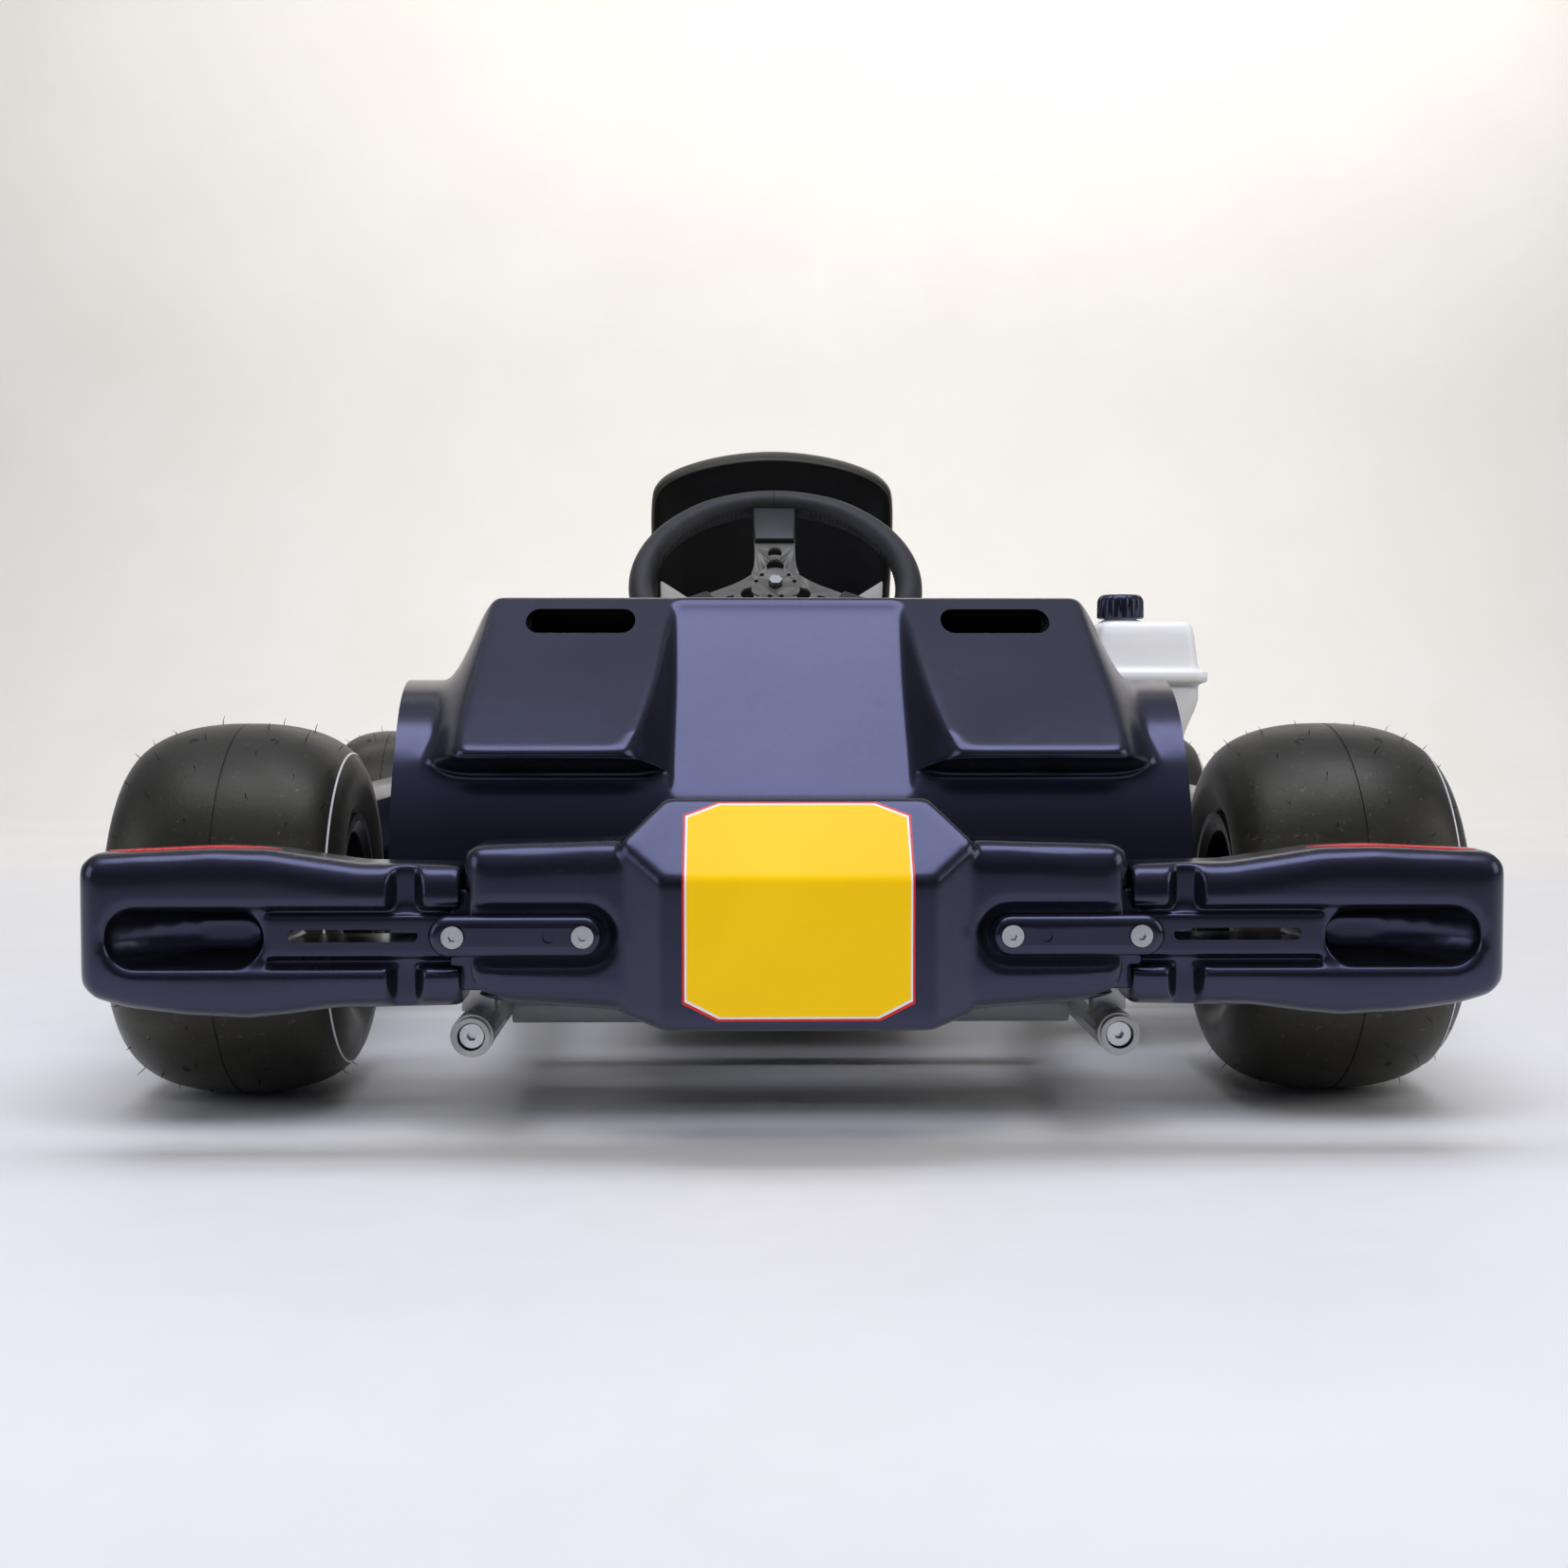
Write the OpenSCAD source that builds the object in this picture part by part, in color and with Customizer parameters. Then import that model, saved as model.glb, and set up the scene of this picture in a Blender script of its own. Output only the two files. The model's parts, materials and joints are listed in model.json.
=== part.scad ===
// Small racing kart, rolling chassis with bodywork. Millimetres, +X to the
// driver's right, +Y forward, +Z up. The ground is Z = 0 and the origin lies
// midway between the two axles, on the centre line.

/* [Layout] */
// Distance between the rear axle and the front stub axles
wheelbase = 950; // [945:1:955]
// Half distance between the rear wheel centres
rear_half_track = 409; // [407:1:410]
// Half distance between the front wheel centres
front_half_track = 452; // [450:1:453]

/* [Tyres and wheels] */
// Rear tyre outer radius
rear_tyre_r = 140; // [139:0.5:141]
// Rear tyre section width
rear_tyre_w = 170; // [168:1:172]
// Front tyre outer radius
front_tyre_r = 127; // [126:0.5:128]
// Front tyre section width
front_tyre_w = 130; // [126:1:132]
// Radius of the rim's bead seat
bead_r = 63.5; // [63:0.1:64]

/* [Frame] */
// Radius of the main frame tubes
tube_r = 14; // [13.5:0.1:14.5]
// Height of the main rails above the ground
rail_z = 78; // [77:0.5:79]
// Radius of the rear axle
axle_r = 15; // [14.9:0.05:15.1]

/* [Steering] */
// Outer radius of the steering wheel
wheel_r = 150; // [145:1:152]
// Lean of the steering column above level, in degrees
column_tilt = 48; // [47:0.5:49]

/* [Bumper] */
// Half width of the rear bumper over both wings
bumper_half_w = 465; // [463:1:466]
// Height of the strap line on the rear bumper
strap_z = 148; // [147:0.5:149]

/* [Hidden] */
sr = rear_half_track;
fr = front_half_track;
az = rear_tyre_r;            // rear axle height
fz = front_tyre_r;           // stub axle height
fy = wheelbase;              // stub axles ahead of the rear axle
kx = 345;                    // kingpin offset from the centre line
// steering column: wheel centre and unit vector down the column
wc = [0, 550, 411];
cv = [0, cos(column_tilt), -sin(column_tilt)];
cn = [0, -sin(column_tilt), -cos(column_tilt)];

// The whole car is drawn from the rear axle and moved to the mid-wheelbase origin.
module car() translate([0, -wheelbase / 2, 0]) children();
module both() { children(); mirror([1, 0, 0]) children(); }
module side(s) { if (s > 0) children(); else mirror([1, 0, 0]) children(); }

// Straight round bar from a to b
module rod(a, b, r) {
  d = b - a; L = norm(d);
  translate(a) rotate([0, acos(d[2] / L), atan2(d[1], d[0])]) cylinder(h = L, r = r, $fn = 48);
}
// Round bar along X from x0 to x1
module xcyl(x0, x1, y, z, r) translate([x0, y, z]) rotate([0, 90, 0]) cylinder(h = x1 - x0, r = r, $fn = 64);
module ycyl(x, y0, y1, z, r) translate([x, y1, z]) rotate([90, 0, 0]) cylinder(h = y1 - y0, r = r, $fn = 48);
module box(a, b) translate(a) cube(b - a);
// Profile turned about the X axis, profile in (radius, outboard)
module turnx(x, z, y = 0) translate([x, y, z]) rotate([0, 90, 0]) rotate_extrude($fn = 96) children();

// Bent tube: corners rounded, swept as one closed skin
function unit(v) = v / norm(v);
function bez(a, b, c, t) = (1 - t) * (1 - t) * a + 2 * t * (1 - t) * b + t * t * c;
function toward(p, q, d) = p + unit(q - p) * d;
function bend(P, d, n = 5) = concat([P[0]],
  [for (i = [1 : len(P) - 2]) for (k = [0 : n]) bez(toward(P[i], P[i - 1], d), P[i], toward(P[i], P[i + 1], d), k / n)],
  [P[len(P) - 1]]);
function tang(Q, i) = unit(Q[min(i + 1, len(Q) - 1)] - Q[max(i - 1, 0)]);
module sweep(Q, r, n = 16) {
  up = [0.02, 0.03, 1];
  pts = [for (i = [0 : len(Q) - 1]) let (t = tang(Q, i), s = unit(cross(up, t)), u = cross(t, s))
    for (k = [0 : n - 1]) Q[i] + r * (cos(360 * k / n) * s + sin(360 * k / n) * u)];
  m = len(Q);
  faces = concat(
    [for (i = [0 : m - 2]) for (k = [0 : n - 1]) [i * n + k, (i + 1) * n + k, (i + 1) * n + (k + 1) % n]],
    [for (i = [0 : m - 2]) for (k = [0 : n - 1]) [i * n + k, (i + 1) * n + (k + 1) % n, i * n + (k + 1) % n]],
    [[for (k = [0 : n - 1]) k]], [[for (k = [n - 1 : -1 : 0]) (m - 1) * n + k]]);
  polyhedron(points = pts, faces = faces, convexity = 6);
}

// ---------------------------------------------------------------- frame
rail_pts = [[214, -215, rail_z], [214, 150, rail_z], [232, 340, rail_z], [232, 790, rail_z], [250, 886, 92], [297, 948, 124]];
module rail() sweep(bend(rail_pts, 34), tube_r);
module frame_rail_left() car() color("dimgray") mirror([1, 0, 0]) rail();
module frame_rail_right() car() color("dimgray") rail();
module cross_members() car() color("dimgray") {
  xcyl(-201, 201, -90, rail_z, 13);
  xcyl(-201, 201, 104, rail_z, 13);
  xcyl(-219, 219, 480, rail_z, 13);
  xcyl(-219, 219, 700, rail_z, 13);
  xcyl(-219, 219, 850, rail_z, 13);
}
hoop_pts = [[-196, 862, rail_z], [-190, 980, rail_z], [-150, 1060, rail_z], [150, 1060, rail_z], [190, 980, rail_z], [196, 862, rail_z]];
module front_hoop() car() color("dimgray") sweep(bend(hoop_pts, 36), 13);
// C-shaped yoke at each front corner that holds a kingpin
module spindle_yokes() car() color("dimgray") both() difference() {
  union() {
    box([297, fy - 20, fz - 30], [305, fy + 20, fz + 30]);
    box([305, fy - 20, fz + 22], [366, fy + 20, fz + 30]);
    box([305, fy - 20, fz - 30], [366, fy + 20, fz - 22]);
  }
  translate([kx, fy, 0]) cylinder(h = 300, r = 5.02, $fn = 48);
}
module frame_tube_plugs() car() color("silver") both() difference() {
  union() { ycyl(214, -229, -215, rail_z, 14.2); ycyl(214, -233, -229, rail_z, 12.4); }
  ycyl(214, -240, -219, rail_z, 9.2);
}
module plug_bolts() car() color("gainsboro") both() difference() {
  ycyl(214, -229, -219, rail_z, 8);
  translate([214, -224, rail_z]) rotate([90, 0, 0]) cylinder(h = 10, r = 3.5, $fn = 6);
}
module floor_tray() car() color("silver") translate([0, 0, 61.2]) difference() {
  linear_extrude(2) polygon([[-226, 470], [226, 470], [226, 800], [196, 870], [190, 985], [150, 1072], [-150, 1072], [-190, 985], [-196, 870], [-226, 800]]);
  both() for (p = [[205, 500], [205, 660], [205, 780], [150, 1030]]) translate([p[0], p[1], -1]) cylinder(h = 5, r = 3.2, $fn = 32);
}

// ---------------------------------------------------------------- rear axle carrier
module bearing_hangers() car() color("gray") both() difference() {
  union() {
    box([206, -34, rail_z + 11], [222, 34, az]);
    xcyl(206, 222, 0, az, 38);
    box([206, -52, rail_z + 11], [222, 52, rail_z + 24]);
  }
  xcyl(200, 230, 0, az, 31);
}
module axle_bearings() car() color("lightsteelblue") both() difference() {
  xcyl(207, 221, 0, az, 30.95);
  xcyl(200, 230, 0, az, axle_r + 0.05);
}
module rear_axle() car() color("slategray") difference() {
  xcyl(-460, 460, 0, az, axle_r);
  xcyl(-462, 462, 0, az, axle_r - 4);
}
stud_ang = [90, 210, 330];
module rear_hubs() car() color("silver") both() difference() {
  union() { xcyl(sr - 66, sr - 8, 0, az, 24); xcyl(sr - 8, sr + 2, 0, az, 38); }
  xcyl(sr - 70, sr + 10, 0, az, axle_r + 0.02);
  for (a = stud_ang) xcyl(sr - 20, sr + 10, 29 * cos(a), az + 29 * sin(a), 4.1);
  box([sr - 60, -1.5, az], [sr - 14, 1.5, az + 40]);
}
module rim(w, disc_u, hub_r) difference() {
  polygon([[hub_r, disc_u], [bead_r - 6, disc_u], [bead_r - 6, -w + 4], [bead_r + 2, -w], [bead_r + 8, -w], [bead_r + 8, -w + 5],
    [bead_r - 0.4, -w + 9], [bead_r - 0.4, w - 9], [bead_r + 8, w - 5], [bead_r + 8, w], [bead_r + 2, w], [bead_r - 6, w - 4],
    [bead_r - 6, disc_u + 7], [hub_r, disc_u + 7]]);
}
module rear_rims() car() color("darkgray") both() difference() {
  turnx(sr, az) rim(rear_tyre_w / 2 - 4, 2.2, 17);
  for (a = stud_ang) xcyl(sr - 10, sr + 30, 29 * cos(a), az + 29 * sin(a), 4.2);
  for (a = stud_ang) xcyl(sr - 10, sr + 30, 44 * cos(a + 60), az + 44 * sin(a + 60), 8);
}
module rear_wheel_studs() car() color("gainsboro") both() for (a = stud_ang) {
  xcyl(sr - 7.7, sr + 26, 29 * cos(a), az + 29 * sin(a), 4);
  translate([sr + 9.6, 29 * cos(a), az + 29 * sin(a)]) rotate([0, 90, 0]) cylinder(h = 8, r = 7.5, $fn = 6);
}
// Tyre section: an oval crown over straight side walls, hollow
function crown(W, R, r0, n) = [for (i = [0 : n]) let (a = 180 * i / n, c = cos(a), s = sin(a))
  [r0 + (R - r0) * pow(max(s, 0), 0.78), W * sign(c) * pow(abs(c), 0.86)]];
function flip(L) = [for (i = [len(L) - 1 : -1 : 0]) L[i]];
module tyre(R, W, b) {
  r0 = bead_r + (R - bead_r) * 0.34;
  polygon(concat([[bead_r + 0.4, b]], [[bead_r + 9, b + 1.2]], crown(W, R, r0, 28), [[bead_r + 9, -b - 1.2]], [[bead_r + 0.4, -b]],
    [[bead_r + 0.4, -b + 8]], [[bead_r + 9, -b + 8]], flip(crown(W - 8, R - 9, r0, 28)), [[bead_r + 9, b - 8]], [[bead_r + 0.4, b - 8]]));
}
module rear_tyres() car() color([0.07, 0.07, 0.075]) both() turnx(sr, az) tyre(rear_tyre_r, rear_tyre_w / 2, rear_tyre_w / 2 - 13.4);
module sprocket_carrier() car() color("silver") {
  difference() {
    union() { xcyl(136, 176, 0, az, 24); xcyl(152, 160, 0, az, 46); }
    xcyl(130, 180, 0, az, axle_r + 0.02);
  }
  for (k = [0 : 5]) {
    xcyl(158, 170, 38 * cos(60 * k), az + 38 * sin(60 * k), 4);
    translate([165, 38 * cos(60 * k), az + 38 * sin(60 * k)]) rotate([0, 90, 0]) cylinder(h = 5, r = 6.5, $fn = 6);
  }
}
teeth = 66;
module rear_sprocket() car() color("goldenrod") translate([160.2, 0, az]) rotate([0, 90, 0]) difference() {
  linear_extrude(4.5) polygon([for (k = [0 : teeth * 4 - 1]) let (a = 360 * k / (teeth * 4), r = [84.5, 84.5, 79.5, 79.5][k % 4]) [r * cos(a), r * sin(a)]]);
  translate([0, 0, -1]) cylinder(h = 8, r = 28, $fn = 64);
  for (k = [0 : 5]) rotate(60 * k + 30) translate([38, 0, -1]) cylinder(h = 8, r = 4.1, $fn = 32);
  for (k = [0 : 5]) rotate(60 * k) translate([62, 0, -1]) cylinder(h = 8, r = 11, $fn = 40);
}
module disc_carrier() car() color("silver") {
  difference() {
    union() { xcyl(-112, -72, 0, az, 24); xcyl(-117, -109, 0, az, 42); }
    xcyl(-120, -70, 0, az, axle_r + 0.02);
  }
  for (k = [0 : 4]) {
    xcyl(-127, -115, 35 * cos(72 * k), az + 35 * sin(72 * k), 4);
    translate([-128.5, 35 * cos(72 * k), az + 35 * sin(72 * k)]) rotate([0, 90, 0]) cylinder(h = 5, r = 6.2, $fn = 6);
  }
}
module brake_disc() car() color("lightgray") difference() {
  xcyl(-123, -117.2, 0, az, 88);
  xcyl(-130, -110, 0, az, 28);
  for (k = [0 : 4]) xcyl(-130, -110, 35 * cos(72 * k), az + 35 * sin(72 * k), 4.2);
  for (k = [0 : 17]) xcyl(-130, -110, (60 + 14 * (k % 2)) * cos(20 * k), az + (60 + 14 * (k % 2)) * sin(20 * k), 4);
}
module brake_caliper() car() color("darkslategray") difference() {
  union() {
    box([-152, 58, 112], [-88, 112, 168]);
    box([-206, 92, 124], [-152, 112, 146]);
    box([-222, 92, rail_z + 12], [-206, 112, 146]);
  }
  box([-130, 40, 100], [-110, 98, 180]);
}
module brake_pad_inner() car() color("sienna") box([-115.9, 62, 121], [-110.6, 92, 159]);
module brake_pad_outer() car() color("sienna") box([-129.4, 62, 121], [-124.3, 92, 159]);

// ---------------------------------------------------------------- rear bumper
module bumper_brackets() car() color("silver") both() difference() {
  box([203, -193, rail_z + 11], [225, -173, 150]);
  xcyl(190, 240, -183, 136, 8);
}
// Steel bars that carry the bumper, the side pods and the nose
module bumper_bars() car() color("gainsboro") {
  xcyl(-240, 240, -183, 136, 7.95);
  both() {
    xcyl(238, 452, 400, 90, 8);
    xcyl(238, 452, 650, 90, 8);
    ycyl(446, 404, 646, 90, 7.2);
    box([438, 512, 66], [454, 538, 92]);
    rod([110, 1071, rail_z], [110, 1202, rail_z + 14], 8);
  }
}
module slotted(x0, x1, y0, y1, z, r) { box([x0, y0, z - r], [x1, y1, z + r]); ycyl(x0, y0, y1, z, r); ycyl(x1, y0, y1, z, r); }
// Rear outline of the middle moulding, one side, (x, z)
arm_pts = [[84, 92], [112, 97], [190, 103], [206, 107], [215, 118], [215, 199], [206, 205], [109, 209], [84, 226]];
boss_pts = [[-283.4, 94], [-283.4, 186], [-236.4, 233], [-206, 233], [-199, 226], [-199, 88], [-278, 88]];
module boss_slab(x) translate([x, 0, 0]) rotate([90, 0, 90]) linear_extrude(0.4) polygon(boss_pts);
module bumper_center() car() color([0.06, 0.06, 0.07]) difference() {
  union() {
    translate([-84, 0, 0]) rotate([90, 0, 90]) linear_extrude(168) polygon(boss_pts);
    both() translate([0, -199, 0]) rotate([90, 0, 0]) linear_extrude(63) polygon(arm_pts);
    both() box([52, -200, 122], [68, -172, 150]);
    both() hull() { boss_slab(83); translate([112, 0, 0]) rotate([90, 0, 90]) linear_extrude(0.4) polygon([[-262, 98], [-262, 206], [-199, 206], [-199, 98]]); }
  }
  both() {
    box([118, -256.5, 108.5], [230, -190, 178.5]);
    slotted(138, 230, -290, -259.5, strap_z, 20);
    slotted(128, 172, -262, -250, strap_z, 4.6);
    slotted(206, 230, -262, -250, strap_z, 4.6);
    xcyl(40, 80, -183, 136, 8);
  }
}
module number_panel() car() color("gold") {
  ch = 22; w = 74;
  translate([0, -283.4, 0]) rotate([90, 0, 0]) linear_extrude(1.6) polygon([[-w, 186], [-w, 96 + ch / 2], [-w + ch, 96], [w - ch, 96], [w, 96 + ch / 2], [w, 186]]);
  translate([0, -283.4, 186]) rotate([45, 0, 0]) linear_extrude(1.6) polygon([[-w, 0], [w, 0], [w, 66.4 - ch / 2 - 2], [w - ch, 64.4], [-w + ch, 64.4], [-w, 66.4 - ch / 2 - 2]]);
}
// Rear outline of a wing, (x, z); the tongue on the left runs inside the middle moulding
wing_pts = [[150, 110], [217.5, 110], [217.5, 100], [262, 99], [300, 98.5], [332, 94], [358, 91.5], [400, 94], [436, 100], [456, 106], [460, 114], [460, 192], [456, 199], [380, 203], [344, 202], [312, 197], [285, 193], [217.5, 192], [217.5, 177], [150, 177]];
module wing() difference() {
  translate([0, -199, 0]) rotate([90, 0, 0]) linear_extrude(56) polygon([for (p = wing_pts) [p[0] > 458 ? bumper_half_w : p[0], p[1]]]);
  slotted(262, 425, -270, -247, strap_z, 15);
  slotted(352, 424, -270, -222, strap_z, 15);
  slotted(247, 325, -270, -190, strap_z, 3.8);
  ycyl(221, -270, -190, strap_z, 4.1);
  box([140, -270, strap_z - 15], [262, -247, strap_z + 15]);
  box([256, -270, 170], [268, -250, 210]);
  box([256, -270, 90], [268, -250, 126]);
}
module strap() difference() {
  union() { box([138, -269, strap_z - 13.5], [224, -259.8, strap_z + 13.5]); ycyl(138, -269, -259.8, strap_z, 13.5); ycyl(224, -269, -259.8, strap_z, 13.5); }
  for (x = [138, 221]) ycyl(x, -280, -250, strap_z, 4.1);
  for (x = [138, 221]) ycyl(x, -280, -265, strap_z, 7.4);
  ycyl(160, -280, -262, strap_z, 4);
}
module strap_bolts() for (x = [138, 221]) difference() {
  union() { ycyl(x, -270.5, -265, strap_z, 7.2); ycyl(x, -265, x > 200 ? -228 : -257, strap_z, 4); }
  translate([x, -267.5, strap_z]) rotate([90, 0, 0]) cylinder(h = 6, r = 2.9, $fn = 6);
}
module bumper_wing_left() car() color([0.06, 0.06, 0.07]) side(-1) wing();
module bumper_wing_right() car() color([0.06, 0.06, 0.07]) wing();
module bumper_strap_left() car() color([0.1, 0.1, 0.12]) side(-1) strap();
module bumper_strap_right() car() color([0.1, 0.1, 0.12]) strap();
module strap_bolts_left() car() color("gainsboro") side(-1) strap_bolts();
module strap_bolts_right() car() color("gainsboro") strap_bolts();

// ---------------------------------------------------------------- rear cowl
// The shell is a radius about (y 20, z 171) at angle t from straight back.
cy = 20; cz = 171;
function rho_mid(t) = t < 22.9 ? 150 : t > 91 ? 206 / sin(t) : 138.6 / (0.707 * cos(t) + 0.707 * sin(t));
function rho_face(t) = t > 92.8 ? 206 / sin(t) : max(150, 168 / (0.538 * cos(t) + 0.843 * sin(t)));
function lerp(a, b, f) = a + (b - a) * min(1, max(0, f));
function rho_bulge(t) = lerp(150, rho_face(max(t, 30)), (t - 21) / 9);
function rho(x, t) = let (a = abs(x)) a < 110 ? lerp(rho_mid(t), rho_bulge(t), (a - 84) / 18) : lerp(rho_bulge(t), 150, (a - 226) / 38);
cowl_x = [-300, -280, -264, -245, -226, -160, -102, -84, -40, 40, 84, 102, 160, 226, 245, 264, 280, 300];
cowl_t = [-14, 0, 12, 21, 25.5, 30, 35, 42, 52, 62, 72, 82, 91, 95.5, 100];
function cowl_pt(x, t, d) = let (r = rho(x, t) - d, k = 1 - 0.068 * lerp(0, 1, (80 - t) / 70) * lerp(0, 1, (abs(x) - 226) / 74))
  [x * k, cy - r * cos(t), cz + r * sin(t)];
cnx = len(cowl_x); cnt = len(cowl_t); cN = cnx * cnt;
function q(i, j, s) = s * cN + i * cnt + j;
module cowl_shell() {
  P = concat([for (x = cowl_x) for (t = cowl_t) cowl_pt(x, t, 0)], [for (x = cowl_x) for (t = cowl_t) cowl_pt(x, t, 5)]);
  F = concat(
    [for (i = [0 : cnx - 2]) for (j = [0 : cnt - 2]) each [[q(i, j, 0), q(i, j + 1, 0), q(i + 1, j + 1, 0)], [q(i, j, 0), q(i + 1, j + 1, 0), q(i + 1, j, 0)]]],
    [for (i = [0 : cnx - 2]) for (j = [0 : cnt - 2]) each [[q(i, j, 1), q(i + 1, j + 1, 1), q(i, j + 1, 1)], [q(i, j, 1), q(i + 1, j, 1), q(i + 1, j + 1, 1)]]],
    [for (i = [0 : cnx - 2]) each [[q(i, 0, 0), q(i + 1, 0, 0), q(i + 1, 0, 1)], [q(i, 0, 0), q(i + 1, 0, 1), q(i, 0, 1)]]],
    [for (i = [0 : cnx - 2]) each [[q(i, cnt - 1, 0), q(i + 1, cnt - 1, 1), q(i + 1, cnt - 1, 0)], [q(i, cnt - 1, 0), q(i, cnt - 1, 1), q(i + 1, cnt - 1, 1)]]],
    [for (j = [0 : cnt - 2]) each [[q(0, j, 0), q(0, j + 1, 1), q(0, j + 1, 0)], [q(0, j, 0), q(0, j, 1), q(0, j + 1, 1)]]],
    [for (j = [0 : cnt - 2]) each [[q(cnx - 1, j, 0), q(cnx - 1, j + 1, 0), q(cnx - 1, j + 1, 1)], [q(cnx - 1, j, 0), q(cnx - 1, j + 1, 1), q(cnx - 1, j, 1)]]]);
  polyhedron(points = P, faces = F, convexity = 8);
}
module vent() translate([0, 0, -20]) {
  translate([-34, -8, 0]) cube([68, 16, 40]);
  for (x = [-34, 34]) translate([x, 0, 0]) cylinder(h = 40, r = 8, $fn = 40);
}
module rear_cowl() car() color([0.08, 0.08, 0.1]) difference() {
  cowl_shell();
  both() translate([153, 8, 362]) rotate([33, 0, 0]) vent();
}
// Posts under the cowl, stays that hold the seat, and the shelf under the tank
module support_stays() car() color("gray") {
  both() {
    rod([214, 0, az + 37], [202, 40, 371.8], 6);
    rod([60, 104, 86], [60, 136, 190], 7);
    rod([90, 478, 84], [90, 438, 100], 7);
  }
  box([224, 226, 90], [340, 294, 96.7]);
}

// ---------------------------------------------------------------- front corners
module kingpins() car() color("gainsboro") both() {
  translate([kx, fy, fz - 34]) cylinder(h = 70, r = 5, $fn = 48);
  translate([kx, fy, fz + 30.2]) cylinder(h = 7, r = 8.5, $fn = 6);
  translate([kx, fy, fz - 37]) cylinder(h = 6.8, r = 8.5, $fn = 6);
}
module spindle() difference() {
  union() {
    translate([kx, fy, fz - 21]) cylinder(h = 42, r = 14, $fn = 64);
    xcyl(kx, 512, fy, fz, 8.5);
    xcyl(kx, 384, fy, fz, 12);
    box([328, 850, fz - 21], [344, fy - 6, fz - 13]);
    translate([336, 862, fz - 15]) cylinder(h = 24, r = 4, $fn = 40);
    translate([490, fy, fz]) rotate([0, 90, 0]) cylinder(h = 9, r = 13, $fn = 6);
  }
  translate([kx, fy, 0]) cylinder(h = 300, r = 5.06, $fn = 48);
}
module spindle_left() car() color("dimgray") side(-1) spindle();
module spindle_right() car() color("dimgray") spindle();
module front_hub() {
  difference() {
    union() { xcyl(392, 486, fy, fz, 20); xcyl(438, 446, fy, fz, 38); }
    xcyl(380, 520, fy, fz, 8.56);
  }
  for (a = stud_ang) {
    xcyl(444, 464, fy + 29 * cos(a), fz + 29 * sin(a), 4);
    translate([453.5, fy + 29 * cos(a), fz + 29 * sin(a)]) rotate([0, 90, 0]) cylinder(h = 8, r = 7.5, $fn = 6);
  }
}
module front_rim() difference() {
  turnx(fr, fz, fy) rim(60, 446.2 - fr, 20.4);
  for (a = stud_ang) xcyl(430, 470, fy + 29 * cos(a), fz + 29 * sin(a), 4.2);
  for (a = stud_ang) xcyl(430, 470, fy + 44 * cos(a + 60), fz + 44 * sin(a + 60), 8);
}
module front_hub_left() car() color("silver") side(-1) front_hub();
module front_hub_right() car() color("silver") front_hub();
module front_rim_left() car() color("darkgray") side(-1) front_rim();
module front_rim_right() car() color("darkgray") front_rim();
module front_tyre() turnx(fr, fz, fy) tyre(front_tyre_r, front_tyre_w / 2, 50.6);
module front_tyre_left() car() color([0.07, 0.07, 0.075]) side(-1) front_tyre();
module front_tyre_right() car() color([0.07, 0.07, 0.075]) front_tyre();

// ---------------------------------------------------------------- steering
module oncol(s) translate(wc + cv * s) rotate([270 - column_tilt, 0, 0]) children();
module steering_column() car() color("silver") {
  rod(wc + cv * 18, wc + cv * 430, 9.5);
  oncol(346) difference() {
    union() { cylinder(h = 7, r = 20, center = true, $fn = 64); translate([0, 0, -3.5]) linear_extrude(7) polygon([[-19, 0], [19, 0], [25, 24], [33, 40], [33, 54], [29, 58], [-29, 58], [-33, 54], [-33, 40], [-25, 24]]); }
    both() translate([24, 46, -10]) cylinder(h = 20, r = 4.1, $fn = 40);
  }
}
module steering_support() car() color("dimgray") {
  difference() {
    union() {
      oncol(170) cylinder(h = 26, r = 17, center = true, $fn = 64);
      both() rod(wc + cv * 170 + [11, 0, 0], [112, 700, rail_z + 9], 9);
      both() rod(wc + cv * 170 + [12, 6, 0], [58, 848, 388], 7);
    }
    oncol(170) cylinder(h = 60, r = 9.55, center = true, $fn = 64);
  }
  difference() {
    oncol(414) union() { cylinder(h = 20, r = 16, center = true, $fn = 64); translate([-15, -9, 0]) cube([30, 18, 34]); }
    oncol(414) cylinder(h = 80, r = 9.55, center = true, $fn = 64);
  }
}
module steering_wheel() car() color([0.06, 0.06, 0.06]) oncol(0) {
  rotate_extrude($fn = 96) translate([wheel_r - 14, 0]) circle(r = 14, $fn = 40);
  for (a = [270, 30, 150]) rotate(a) difference() {
    translate([24, -22, -2]) cube([wheel_r - 34, 44, 4]);
    for (u = [58, 84]) translate([u, 0, -5]) cylinder(h = 10, r = 8, $fn = 40);
  }
  difference() { cylinder(h = 4, r = 34, center = true, $fn = 64); cylinder(h = 10, r = 7.2, center = true, $fn = 40); }
}
module wheel_boss() car() color("silver") oncol(0) {
  translate([0, 0, 2.2]) cylinder(h = 15.6, r = 22, $fn = 64);
  translate([0, 0, -8]) cylinder(h = 10.2, r = 7, $fn = 6);
}
ie = wc + cv * 326 + cn * 46 + [26, 0, 0];   // inner eye of the tie rod
oe = [336, 862, 127];                        // outer eye
tv = unit(oe - ie);
module tie_rod() difference() {
  union() {
    rod(ie + tv * 8, oe - tv * 8, 5.5);
    translate(oe - [0, 0, 6]) cylinder(h = 12, r = 11, $fn = 48);
    rod(oe - tv * 24, oe - tv * 6, 7);
    oncol(326) translate([26, 46, -6]) cylinder(h = 12, r = 11, $fn = 48);
    rod(ie + tv * 6, ie + tv * 24, 7);
  }
  translate([oe[0], oe[1], 90]) cylinder(h = 60, r = 4.07, $fn = 40);
  oncol(326) translate([26, 46, -20]) cylinder(h = 40, r = 4.1, $fn = 40);
}
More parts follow.
